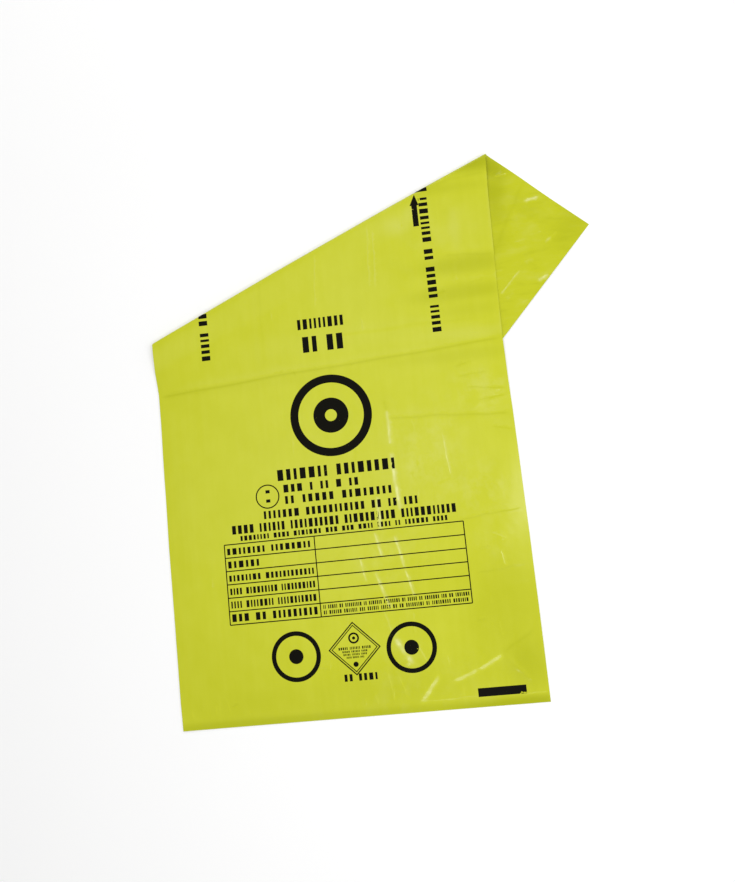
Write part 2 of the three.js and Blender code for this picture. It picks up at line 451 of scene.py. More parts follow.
RIDGE, SWELL, VALLEY, STEP = CreaseForm.RIDGE, CreaseForm.SWELL, CreaseForm.VALLEY, CreaseForm.STEP
RIGHT_FLANK, LEFT_FLANK = CreaseForm.RIGHT_FLANK, CreaseForm.LEFT_FLANK

CROSSWISE_CREASES = (
    Crease((1, 468), (499, 495), 0.50, 8, STEP, 0.03, 0.0, 0.04),
    Crease((1, 466), (499, 493), 0.35, 22, VALLEY, 0.03),
    Crease((80, 375), (326, 400), 0.24, 9),
    Crease((326, 400), (497, 389), 0.42, 7, STEP, 0.06, 0.0, 0.08),
    Crease((251, 527), (498, 527), 0.12, 10, STEP),
    Crease((2, 363), (56, 377), 0.30, 8, VALLEY),
    Crease((14, 229), (162, 224), 0.22, 8),
    Crease((404, 249), (497, 258), 0.42, 5, STEP, 0.1, 0.0, 0.1),
    Crease((396, 726), (499, 740), 0.26, 9, STEP, 0.1),
    Crease((430, 623), (499, 617), 0.24, 9, STEP, 0.08),
    Crease((330, 408), (420, 414), 0.20, 5),
    Crease((418, 176), (495, 182), 0.22, 6, STEP),
    Crease((452, 154), (497, 158), 0.22, 5),
    Crease((428, 447), (474, 450), 0.34, 3, STEP, 0.2),
    Crease((440, 431), (497, 424), 0.42, 4, STEP, 0.15),
    Crease((452, 411), (497, 415), 0.34, 3, STEP, 0.15),
    Crease((468, 373), (497, 366), 0.36, 3, STEP, 0.2),
    Crease((380, 398), (440, 407), 0.26, 3, RIDGE, 0.2),
)

LENGTHWISE_CREASES = (
    Crease((160, 487), (164, 622), 0.16, 8, STEP, 0.1),
    Crease((165, 14), (162, 480), 0.12, 8, RIDGE, 0.1),
    Crease((241, 570), (246, 650), 0.32, 1.0, RIGHT_FLANK, 0.1),
    Crease((388, 676), (391, 700), 0.22, 1.6, RIGHT_FLANK, 0.2, 0.9, 0.35),
    Crease((404, 700), (402, 716), 0.24, 1.8, RIGHT_FLANK, 0.2, 0.9, 0.35),
    Crease((363, 664), (376, 686), 0.34, 3.4, SWELL, 0.3, 0.2),
    Crease((424, 20), (446, 18), 0.16, 1.2, RIDGE, 0.3, 0.1),
    Crease((458, 15), (474, 14.5), 0.20, 1.4, RIDGE, 0.3, 0.9),
    Crease((321, 588), (324, 684), 0.36, 1.1, RIGHT_FLANK, 0.1),
    Crease((329, 588), (332, 676), 0.42, 1.2, RIGHT_FLANK, 0.1),
    Crease((325, 412), (321, 588), 0.14, 6, RIDGE, 0.1),
    Crease((325, 363), (325, 412), 1.25, 3.9, RIGHT_FLANK, 0.06, 0.5, 0.14),
    Crease((328, 270), (324, 352), 1.50, 4.7, RIGHT_FLANK, 0.05, 1.0, 0.12),
    Crease((326.5, 190), (316.5, 238), 1.10, 3.4, RIGHT_FLANK, 0.12, 0.4, 0.2),
    Crease((336, 150), (326, 192), 0.95, 3.0, RIGHT_FLANK, 0.15, 0.6, 0.2),
    Crease((298, 246), (299, 294), 1.45, 4.6, RIGHT_FLANK, 0.1, 1.0, 0.15),
    Crease((297, 208), (290, 245), 1.10, 3.4, RIGHT_FLANK, 0.12, 0.5, 0.2),
    Crease((272, 178), (266, 214), 0.75, 2.4, RIGHT_FLANK, 0.12, 0.3, 0.2),
    Crease((301, 139), (285, 190), 1.15, 3.6, RIGHT_FLANK, 0.08, 0.9, 0.2),
    Crease((302, 100), (292, 138), 0.38, 1.8, RIGHT_FLANK, 0.15),
    Crease((404, 310), (398, 376), 0.62, 2.2, RIGHT_FLANK, 0.15),
    Crease((372, 330), (356, 372), 0.22, 6, RIDGE, 0.3),
    Crease((446, 282), (436, 330), 0.22, 7, RIDGE, 0.3),
    Crease((324, 59), (299, 103), 1.75, 6.0, RIGHT_FLANK, 0.2, 0.7, 0.32),
    Crease((346, 60), (330, 92), 0.50, 2.4, RIGHT_FLANK, 0.3, 0.5),
    Crease((293, 101), (310, 110), 0.60, 2.6, RIGHT_FLANK, 0.3, 0.6),
    Crease((295, 16), (288, 62), 0.34, 1.6, RIGHT_FLANK, 0.2, 0.2),
    Crease((311, 26), (303, 50), 0.40, 1.8, RIGHT_FLANK, 0.2, 0.2),
    Crease((447, 90), (445, 112), 0.28, 1.6, RIGHT_FLANK, 0.15),
    Crease((469, 218), (449, 228), 0.43, 2.4, RIGHT_FLANK, 0.15),
    Crease((462, 182), (458.5, 203), 0.60, 2.2, RIGHT_FLANK, 0.15),
)

CORNER_CREASES = (
    Crease((326, 10), (358, 51), 1.10, 6.2, RIGHT_FLANK, 0.25, 0.0, 0.12),
    Crease((372, 37), (414, 53), 0.72, 5.5, RIGHT_FLANK, 0.25, 0.0, 0.12),
    Crease((408, 50), (446, 69), 1.05, 5.5, RIGHT_FLANK, 0.2, 0.0, 0.12),
    Crease((484, 22), (444, 69), 0.70, 4.0, SWELL, 0.3),
    Crease((444, 68), (492, 96), 0.26, 8, STEP, 0.2),
    Crease((330, 14.5), (412, 16), 0.40, 1.8, RIGHT_FLANK, 0.1),
    Crease((446, 15.5), (498, 14), 0.56, 2.0, RIGHT_FLANK, 0.06),
)

FLAP_GLINTS = (
    Crease((480, 801), (496, 815), 1.50, 2.6, LEFT_FLANK, 0.25),
    Crease((472, 857), (496, 874), 1.75, 3.5, LEFT_FLANK, 0.3, 0.0, 0.3),
    Crease((443, 919), (469, 924), 0.80, 3.6, LEFT_FLANK, 0.2, 0.0, 0.4),
    Crease((346.5, 914.5), (391, 915.5), 0.55, 1.5, LEFT_FLANK, 0.06),
    Crease((345, 925), (360, 931), 0.60, 2.0, SWELL, 0.2),
    Crease((391, 943), (410, 951), 1.45, 3.7, LEFT_FLANK, 0.25, 0.0, 0.35),
    Crease((400, 870), (498, 842), 0.25, 11, STEP, 0.1),
    Crease((430, 820), (455, 936), 0.16, 10, RIDGE, 0.2),
)


FLAP_HEADING_DEG = 47.0  # level on the floor, as an angle on the flat tube, once the flap is turned under


@dataclass(frozen=True)
class WeldPuckers:
    """Short creases that run up from the bottom weld, where the film is drawn together."""

    count: int = 26
    first: float = 12.0
    last: float = 486.0
    seed: int = 17

    def build(self) -> tuple[Crease, ...]:
        """Draws the creases.

        Returns:
            One crease for each pucker.
        """
        draw = np.random.default_rng(self.seed)
        made = []
        for _ in range(self.count):
            across = float(draw.uniform(self.first, self.last))
            length = float(draw.uniform(9.0, 30.0))
            lean = float(draw.uniform(-0.22, 0.22)) * length
            rise = float(draw.uniform(0.12, 0.32))
            form = RIGHT_FLANK if draw.random() < 0.6 else RIDGE
            low = float(draw.uniform(12.8, 17.0))
            made.append(Crease((across, low), (across + lean, low + length), rise, 1.7, form, 0.35))
        return tuple(made)


@dataclass(frozen=True)
class FlapWisps:
    """Short faint creases over the flap's corner, nearly level as the bag lies."""

    count: int = 34
    lowest: Place = (352.0, 798.0)
    highest: Place = (488.0, 946.0)
    limit: Place = (494.0, 950.0)
    seed: int = 61

    def build(self) -> tuple[Crease, ...]:
        """Draws the creases.

        Returns:
            One crease for each draw.
        """
        draw = np.random.default_rng(self.seed)
        made = []
        for _ in range(self.count):
            start = tuple(float(value) for value in draw.uniform(self.lowest, self.highest))
            length = float(draw.uniform(8.0, 20.0))
            heading = math.radians(FLAP_HEADING_DEG + float(draw.normal(0, 10)))
            right = min(start[0] + length * math.cos(heading), self.limit[0])
            high = min(start[1] + length * math.sin(heading), self.limit[1])
            form = (LEFT_FLANK, RIDGE, VALLEY)[int(draw.integers(0, 3))]
            rise, width = float(draw.uniform(0.10, 0.28)), float(draw.uniform(1.2, 2.2))
            made.append(Crease(start, (right, high), rise, width, form, 0.3, 0.0, 0.3))
        return tuple(made)


@dataclass(frozen=True)
class FineCreases:
    """Short faint creases, most of them lengthwise and on the right, as in film that lay folded."""

    count: int = 72
    lowest: float = 24.0
    highest: float = 700.0
    side_margin: float = 6.0
    fold_margin: float = 24.0
    seed: int = 29

    def build(self) -> tuple[Crease, ...]:
        """Draws the creases.

        Returns:
            One crease for each draw that lies in the main length.
        """
        tube = FlatTube()
        width_mm = tube.width / MM
        draw = np.random.default_rng(self.seed)
        made = []
        for _ in range(self.count):
            across = float(width_mm * draw.beta(1.9, 1.15))
            along = float(draw.uniform(self.lowest, self.highest))
            lengthwise = draw.random() < (0.7 if across < 420 else 0.35)
            length = float(draw.uniform(9.0, 34.0))
            angle = math.radians((90 if lengthwise else 4) + float(draw.normal(0, 7)))
            end = (across + length * math.cos(angle), along + length * math.sin(angle))
            rise, width = float(draw.uniform(0.16, 0.42)), float(draw.uniform(1.0, 1.7))
            forms = (RIGHT_FLANK, RIDGE, STEP) if lengthwise else (STEP, RIDGE)
            form = forms[int(draw.integers(0, len(forms)))]
            under_fold = max(along, end[1]) < tube.fold_height(across * MM) / MM - self.fold_margin
            sides = sorted((across, end[0]))
            if under_fold and self.side_margin < sides[0] and sides[1] < width_mm - self.side_margin:
                made.append(Crease((across, along), end, rise, width, form, 0.3, 0.0, 0.3))
        return tuple(made)


FLAP_CREASES = FLAP_GLINTS + FlapWisps().build()

FRONT_CREASES = (
    CROSSWISE_CREASES + LENGTHWISE_CREASES + CORNER_CREASES + WeldPuckers().build() + FineCreases().build()
)

CRUMPLES = (
    Crumple(4, 23, 0.16, 64, 11, 0.10),
    Crumple(97, 31, 0.18, 80, 23, 0.05),
    Crumple(38, 17, 0.08, 52, 37, 0.15),
    Crumple(-35, 19, 0.08, 58, 41, 0.15),
)


@dataclass(frozen=True)
class SoftPatch:
    """A soft oval patch of the film, in millimetres on the flat tube."""

    centre: Place
    radius: Place
    strength: float
    falloff: float = 1.0

    def amount(self, across: Array, along: Array) -> Array:
        """Strength of the patch at the given places."""
        x = (across / MM - self.centre[0]) / self.radius[0]
        y = (along / MM - self.centre[1]) / self.radius[1]
        return self.strength * np.exp(-np.power(x * x + y * y, self.falloff))


@dataclass(frozen=True)
class CrinklePatch(SoftPatch):
    """A patch that is finely crinkled, and that carries a painted haze sheen."""


# Crinkled patches: a fine bump, and a painted haze sheen in the colour.
CRINKLES = (
    CrinklePatch((372, 345), (44, 52), 0.9),
    CrinklePatch((440, 292), (40, 34), 0.8),
    CrinklePatch((462, 425), (46, 34), 0.7),
    CrinklePatch((452, 214), (34, 34), 0.42),
    CrinklePatch((300, 215), (60, 60), 0.45),
    CrinklePatch((310, 70), (46, 50), 0.4),
    CrinklePatch((400, 45), (80, 30), 0.25),
    CrinklePatch((290, 20), (70, 14), 0.3),
    CrinklePatch((250, 410), (90, 60), 0.2),
    CrinklePatch((420, 640), (60, 60), 0.3),
    CrinklePatch((250, 5), (420, 7), 0.3),
    CrinklePatch((455, 866), (60, 52), 0.28),
)


@dataclass(frozen=True)
class SheenPatch(SoftPatch):
    """A patch of painted sheen, a little paler than the rest, or of painted shade where its strength is
    below 0.
    """

    falloff: float = 1.5


# Painted sheen on the main length, and painted shade where the strength is below 0.
SHEEN = (
    SheenPatch((474, 757), (52, 15), -1.00),
    SheenPatch((420, 722), (80, 8), -0.25),
    SheenPatch((448, 660), (8, 28), 0.14),
    SheenPatch((450, 665), (50, 38), 0.07),
    SheenPatch((462, 607), (66, 14), -0.50),
    SheenPatch((470, 586), (44, 7), 0.04),
    SheenPatch((452, 566), (76, 12), -0.42),
    SheenPatch((470, 556), (40, 5), 0.05),
    SheenPatch((462, 540), (46, 10), -0.20),
    SheenPatch((368, 675), (20, 13), 0.16),
    SheenPatch((389, 692), (12, 11), 0.16),
    SheenPatch((340, 690), (50, 30), 0.05),
    SheenPatch((455, 508), (64, 8), 0.12),
    SheenPatch((300, 520), (170, 20), 0.05),
    SheenPatch((440, 477), (90, 9), -0.22),
    SheenPatch((140, 470), (130, 9), -0.10),
    SheenPatch((300, 585), (60, 60), 0.05),
    SheenPatch((462, 120), (60, 84), -0.32),
    SheenPatch((480, 45), (30, 36), -0.35),
    SheenPatch((60, 60), (110, 80), -0.14),
    SheenPatch((200, 25), (160, 26), -0.14),
    SheenPatch((470, 2), (90, 9), -0.75),
    SheenPatch((150, 2), (330, 8), -0.60),
    SheenPatch((330, 40), (110, 34), -0.15),
    SheenPatch((8, 300), (30, 260), -0.08),
    SheenPatch((260, 300), (120, 110), 0.05),
    SheenPatch((390, 330), (70, 60), 0.06),
)

# Painted sheen and painted shade on the flap's corner, with the darkest painted shade beside the main
# length's edge.
FLAP_SHEEN = (
    SheenPatch((489, 790), (15, 27), -0.95),
    SheenPatch((459, 816), (20, 19), -0.75),
    SheenPatch((438, 840), (18, 16), -0.50),
    SheenPatch((404, 866), (22, 14), -0.30),
    SheenPatch((492, 936), (44, 22), -0.40),
    SheenPatch((470, 868), (12, 40), -0.18),
    SheenPatch((452, 893), (24, 9), 0.06),
)


class FilmRelief:
    """Everything that keeps the two walls from lying quite flat, and the painted highlights, sheen and
    shade that go with it.
    """

    FRONT_SWELL, FRONT_RIPPLE = 0.42 * MM, 0.13 * MM
    FLAP_SWELL, FLAP_RIPPLE, FLAP_BUCKLES = 0.30 * MM, 0.12 * MM, 0.6
    FRONT_FADE, FLAP_FADE = (26 * MM, 5 * MM), (20 * MM, 3 * MM)
    BROAD_LIFT, EDGE_LIFT = 0.8 * MM, 0.5 * MM
    EDGE_LIFT_RUN, FOLD_LIFT_RUN = 60 * MM, 50 * MM
    # A painted highlight along the main length's right edge where it lies over the flap.
    EDGE_LINE, EDGE_LINE_WIDTH = 0.14, 1.4 * MM
    EDGE_LINE_LOW, EDGE_LINE_HIGH = 497 * MM, 757 * MM

    def __init__(self, tube: FlatTube) -> None:
        """Prepares the noise fields for a tube."""
        self.tube = tube
        self.swell = LatticeNoise(88 * MM, 5)
        self.ripple = LatticeNoise(31 * MM, 7)
        self.edge_wave = LatticeNoise(58 * MM, 9)
        self.float_wave = LatticeNoise(118 * MM, 13)

    def _fade(self, across: Array, along: Array, run: float) -> Array:
        """0 along the side edges, the weld, the bend and the mouth, and 1 inside."""
        tube = self.tube
        past = tube.past_fold(across, along)
        borders = [tube.from_sides(across), along - tube.weld_height, tube.length - along + 0.3 * run]
        borders.append(np.where(past < 0, tube.bend_start - past, past - tube.bend_end))
        return ease(np.minimum.reduce(borders) / run)

    def _faded(
        self, across: Array, along: Array, soft: Array, creases: tuple[Crease, ...], runs: Pair
    ) -> Array:
        """Soft relief and creases together, each faded out towards the borders over its own run."""
        creased = sum(crease.height(across, along) for crease in creases)
        return soft * self._fade(across, along, runs[0]) + creased * self._fade(across, along, runs[1])

    def front(self, across: Array, along: Array) -> Array:
        """Height of the relief on the front panel of the main length."""
        soft = self.FRONT_SWELL * self.swell(across, along) + self.FRONT_RIPPLE * self.ripple(across, along)
        soft = soft + sum(crumple.height(across, along) for crumple in CRUMPLES)
        return self._faded(across, along, soft, FRONT_CREASES, self.FRONT_FADE)

    def flap(self, across: Array, along: Array) -> Array:
        """Height of the relief on the upper wall of the flap."""
        soft = self.FLAP_SWELL * self.swell(across, along) + self.FLAP_RIPPLE * self.ripple(across, along)
        soft = soft + self.FLAP_BUCKLES * sum(crumple.height(across, along) for crumple in CRUMPLES)
        return self._faded(across, along, soft, FLAP_CREASES, self.FLAP_FADE)

    def lift(self, across: Array, along: Array) -> Array:
        """Height by which both walls of the main length float above what they lie on."""
        broad = 0.5 + 0.5 * self.float_wave(across, along)
        near_edge = 1.0 - ease(self.tube.from_sides(across) / self.EDGE_LIFT_RUN)
        wave = self.BROAD_LIFT * broad + self.EDGE_LIFT * near_edge * (1.0 + self.edge_wave(across, along))
        past = self.tube.past_fold(across, along)
        return wave * ease((self.tube.bend_start - past) / self.FOLD_LIFT_RUN)

    def wear(self, across: Array, along: Array) -> Array:
        """How rubbed the print is, from 0 to 1."""
        return np.maximum.reduce([crease.wear(across, along) for crease in FRONT_CREASES])

    def tone(self, panel: Panel, across: Array, along: Array) -> Array:
        """How much paler the film is than its plain colour, or deeper where the value is below 0: painted
        highlights and sheen, painted shade, and some crease whitening.
        """
        creases = FRONT_CREASES if panel is Panel.FRONT else FLAP_CREASES
        total = sum(crease.tone(across, along) for crease in creases)
        if panel is Panel.FRONT:
            in_main = ease(-self.tube.past_fold(across, along) / (4 * MM))
            total = total + sum(patch.amount(across, along) for patch in SHEEN) * in_main
            # Painted highlight along the right edge over the flap.
            beside_edge = np.exp(-(self.tube.width - across) / self.EDGE_LINE_WIDTH)
            above = ease((along - self.EDGE_LINE_LOW) / (8 * MM))
            below = ease((self.EDGE_LINE_HIGH - along) / (30 * MM))
            total = total + self.EDGE_LINE * beside_edge * above * below
        else:
            total = total + sum(patch.amount(across, along) for patch in FLAP_SHEEN)
        return np.clip(total, -1.0, 1.0)

    def crinkle(self, across: Array, along: Array) -> Array:
        """How finely crinkled the film is, and how strong its painted haze sheen is, from 0 to 1."""
        return np.clip(sum(patch.amount(across, along) for patch in CRINKLES), 0.0, 1.0)


class FilmShape:
    """Lays points of the flat tube down in the row's frame."""

    def __init__(self, tube: FlatTube) -> None:
        """Takes the tube whose film is laid down."""
        self.tube = tube
        self.relief = FilmRelief(tube)
        self.drift = EdgeDrift()

    def points(self, across: Array, along: Array, panel: Panel, wall: Array) -> Array:
        """Places of film points in the row's frame.

        Args:
            across: Distances from the tube's left edge.
            along: Distances from the cut bottom edge.
            panel: The wall that the points are in.
            wall: 0 for points inside the tube, and the wall's thickness for points outside.

        Returns:
            One row of x, y and z for each point.
        """
        tube = self.tube
        past = tube.past_fold(across, along)
        turn = (past - tube.bend_start) / tube.fold_radius
        in_main, in_flap = turn <= 0, turn >= math.pi
        gap = tube.wall_gap(across, along)
        relief = np.where(in_main, self.relief.front(across, along), 0.0)
        if panel is Panel.BACK:
            relief = np.where(in_flap, self.relief.flap(across, along), 0.0)
        closed = np.minimum(gap, tube.least_gap)
        relief = np.maximum(relief, closed - gap)
        tip = (across <= 0) | (across >= tube.width)
        offset = np.where(tip, 0.0, panel.value * (gap / 2 + wall + relief))
        half = gap / 2 + tube.wall
        height = tube.main_height(across, along, half) + offset
        height = height + self.relief.lift(across, along)
        x, y, z = across.copy(), along.copy(), height
        under_x, under_y = tube.turned_under(across, along)
        x[in_flap], y[in_flap] = under_x[in_flap], under_y[in_flap]
        z[in_flap] = (half - offset)[in_flap]
        bend = ~in_main & ~in_flap
        radius = tube.fold_radius + offset
        reach = radius * np.sin(turn) - tube.fold_radius * turn
        normal = tube.fold_normal
        x[bend] = (across + reach * normal[0])[bend]
        y[bend] = (along + reach * normal[1])[bend]
        z[bend] = (tube.fold_half_thickness + tube.fold_radius + radius * np.cos(turn))[bend]
        drift_x, drift_y = self.drift.shift(tube, across, along)
        return np.stack([x + drift_x + tube.origin[0], y + drift_y + tube.origin[1], z], axis=1)


@dataclass(frozen=True)
class InkShape:
    """A closed outline of the print on the flat front panel, in metres."""

    outline: tuple[Place, ...]
    tone: Tone = Tone.INK


@dataclass
class PrintSheet:
    """The plain marks printed on the front panel, laid out in millimetres on the flat tube.

    They are rows of plain upright blocks, rings, dots, bars, a diamond, an arrow and a ruled form.
    """

    line: float = 1.5
    edge_step: float = 3.2
    round_step: float = 2.4
    block_widths: tuple[float, ...] = (0.24, 0.34, 0.46)
    block_odds: tuple[float, ...] = (0.35, 0.40, 0.25)
    block_gap: float = 0.25
    group_gap: float = 0.75
    seed: int = 4
    shapes: list[InkShape] = field(default_factory=list)

    def add(self, corners: Sequence[Place], tone: Tone = Tone.INK) -> None:
        """Adds one closed outline, with points put into its long sides.

        Args:
            corners: Corners in millimetres, anticlockwise.
            tone: Whether the outline is inked or left bare.
        """
        points: list[Place] = []
        for (x0, y0), (x1, y1) in zip(corners, [*corners[1:], corners[0]]):
            pieces = max(1, math.ceil(math.hypot(x1 - x0, y1 - y0) / self.edge_step))
            for k in range(pieces):
                share = k / pieces
                points.append(((x0 + (x1 - x0) * share) * MM, (y0 + (y1 - y0) * share) * MM))
        self.shapes.append(InkShape(tuple(points), tone))

    def bar(self, left: float, low: float, width: float, height: float) -> None:
        """Adds a filled rectangle by its lower left corner and its size."""
        self.add([(left, low), (left + width, low), (left + width, low + height), (left, low + height)])

    def disc(self, centre: Place, radius: float, tone: Tone = Tone.INK) -> None:
        """Adds a filled circle."""
        x, y = centre
        count = max(12, round(math.tau * radius / self.round_step))
        turns = [math.tau * k / count for k in range(count)]
        self.add([(x + radius * math.cos(turn), y + radius * math.sin(turn)) for turn in turns], tone)

    def ring(self, centre: Place, radius: float, thickness: float) -> None:
        """Adds a ring by its outer radius."""
        self.disc(centre, radius)
        self.disc(centre, radius - thickness, Tone.BARE)

    def diamond(self, centre: Place, reach: float, thickness: float) -> None:
        """Adds the outline of a square that stands on its corner, by its outer half diagonal."""
        for size, tone in ((reach, Tone.INK), (reach - thickness * math.sqrt(2), Tone.BARE)):
            x, y = centre
            self.add([(x - size, y), (x, y - size), (x + size, y), (x, y + size)], tone)

    def blocks(self, length: float, groups: Sequence[int], salt: int) -> list[Pair]:
        """Left edges and widths of the blocks in a row.

        Args:
            length: Length of the row.
            groups: How many blocks stand together in each group.
            salt: Added to the seed, so that rows differ.

        Returns:
            A left edge and a width for each block, from the row's start.
        """
        draw = np.random.default_rng(self.seed + salt)
        widths = [draw.choice(self.block_widths, size=count, p=self.block_odds) for count in groups]
        gap, space = self.block_gap, self.group_gap
        total = sum(group.sum() + gap * (len(group) - 1) for group in widths) + space * (len(widths) - 1)
        scale = length / total
        placed, at = [], 0.0
        for group in widths:
            for width in group:
                placed.append((at * scale, float(width) * scale))
                at += float(width) + gap
            at += space - gap
        return placed

    def row(self, left: float, low: float, length: float, height: float, groups: Sequence[int]) -> None:
        """Adds a level row of blocks by its lower left corner."""
        for at, width in self.blocks(length, groups, round(left + 7 * low)):
            self.bar(left + at, low, width, height)

    def upright_row(
        self, left: float, low: float, length: float, height: float, groups: Sequence[int]
    ) -> None:
        """Adds a row of blocks that runs up along the tube, by its lower left corner."""
        for at, width in self.blocks(length, groups, round(left + 7 * low)):
            self.bar(left, low + at, height, width)

    def heading(self) -> None:
        """The two upper rows and the large round mark below them."""
        self.row(211, 541, 66, 15, [9])
        self.row(216, 507, 58, 23, [2, 2])
        centre = (247, 413.5)
        self.ring(centre, 58, 11.5)
        self.ring(centre, 25, 16.5)

    def middle_rows(self) -> None:
        """The rows between the round mark and the form, and the thin circle beside them."""
        self.row(163, 329, 166, 15.5, [7, 8])
        self.ring((146.5, 309), 17, 1.7)
        self.bar(144, 313.5, 6, 4.5)
        self.bar(144, 300.5, 6, 4.5)
        self.row(170, 312, 106, 11, [3, 1, 2, 1, 2])
        self.row(171, 296, 150, 11, [2, 5, 8])
        self.row(139, 278, 216, 11, [7, 11, 2, 2, 3])
        self.row(92, 261, 314, 12, [4, 6, 10, 10, 11])
        self.row(103, 251, 290, 7, [8, 4, 7, 3, 3, 4, 4, 2, 6, 4])

    def form(self) -> None:
        """The ruled form that is filled in by hand."""
        left, right, low, high, column, rows = 79.0, 414.0, 137.0, 247.5, 207.0, 6
        pitch = (high - low) / rows
        for k in range(rows + 1):
            self.bar(left, low + k * pitch - self.line / 2, right - left, self.line)
        for x in (left, column, right):
            self.bar(x - self.line / 2, low, self.line, high - low)
        labels = ([8, 8], [6], [8, 12], [4, 9, 10], [4, 8, 11], [3, 2, 9])
        lengths = (118, 44, 120, 120, 120, 120)
        heights = (9, 9.5, 8.5, 9, 9.5, 10.5)
        for k, (groups, length, height) in enumerate(zip(labels, lengths, heights)):
            self.row(left + 3.5, high - (k + 1) * pitch + 4, length, height, groups)
        self.row(column + 4, low + 10.4, 200, 5.2, [2, 5, 2, 9, 2, 7, 8, 2, 5, 2, 7, 3, 2, 7])
        self.row(column + 4, low + 2.9, 198, 5.2, [2, 6, 7, 3, 6, 5, 2, 2, 9, 2, 9, 7])

    def lower_marks(self) -> None:
        """The two thick rings, the diamond between them and the row below."""
        for centre in ((167.5, 87.0), (326.0, 86.0)):
            self.ring(centre, 34.1, 6.2)
            self.disc(centre, 10)
        x, y = 248.5, 91.0
        self.diamond((x, y), 36, 1.6)
        self.diamond((x, y), 31.8, 1.2)
        self.ring((x, y + 14), 7.5, 2.4)
        self.disc((x, y + 14), 2.2)
        self.row(x - 22, y - 1, 44, 3.6, [5, 7, 5])
        for k, length in enumerate((34, 32, 24)):
            self.row(x - length / 2, y - 5 - 3.9 * k, length, 2.6, [5, 6, 4])
        self.disc((x, y - 21), 3.6)
        self.row(231, 48, 45, 9.5, [2, 4])

    def edge_marks(self) -> None:
        """The level marks beside both side edges and the solid bar in the lower right corner."""
        self.upright_row(402, 514, 197, 12.5, [5, 5, 2, 8])
        self.upright_row(68, 513, 92, 12.5, [5, 5])
        self.bar(391.5, 671, 8, 30)
        self.add([(389, 701), (402, 701), (397, 717)])
        self.bar(395, 720, 21, 6)
        self.bar(408, 13.4, 64, 11.4)

    def build(self) -> list[InkShape]:
        """Lays out the whole print.

        Returns:
            The outlines, in the order in which they cover each other.
        """
        self.heading()
        self.middle_rows()
        self.form()
        self.lower_marks()
        self.edge_marks()
        return self.shapes


@dataclass(frozen=True)
class NetSpacing:
    """How closely one panel's mesh is spaced, in metres."""

    main: float
    flap: float
    flap_corner: float
    border: float = 4.0 * MM
    bend_across: float = 4.0 * MM
    bend_rows: int = 11
    crease: float = 3.2 * MM
    shake: float = 0.22
    border_margin: float = 1.6 * MM
    crease_margin: float = 1.2 * MM
    weld_margin: float = 1.0 * MM
    line_clearance: float = 1.5 * MM
    shown_margin: float = 20 * MM


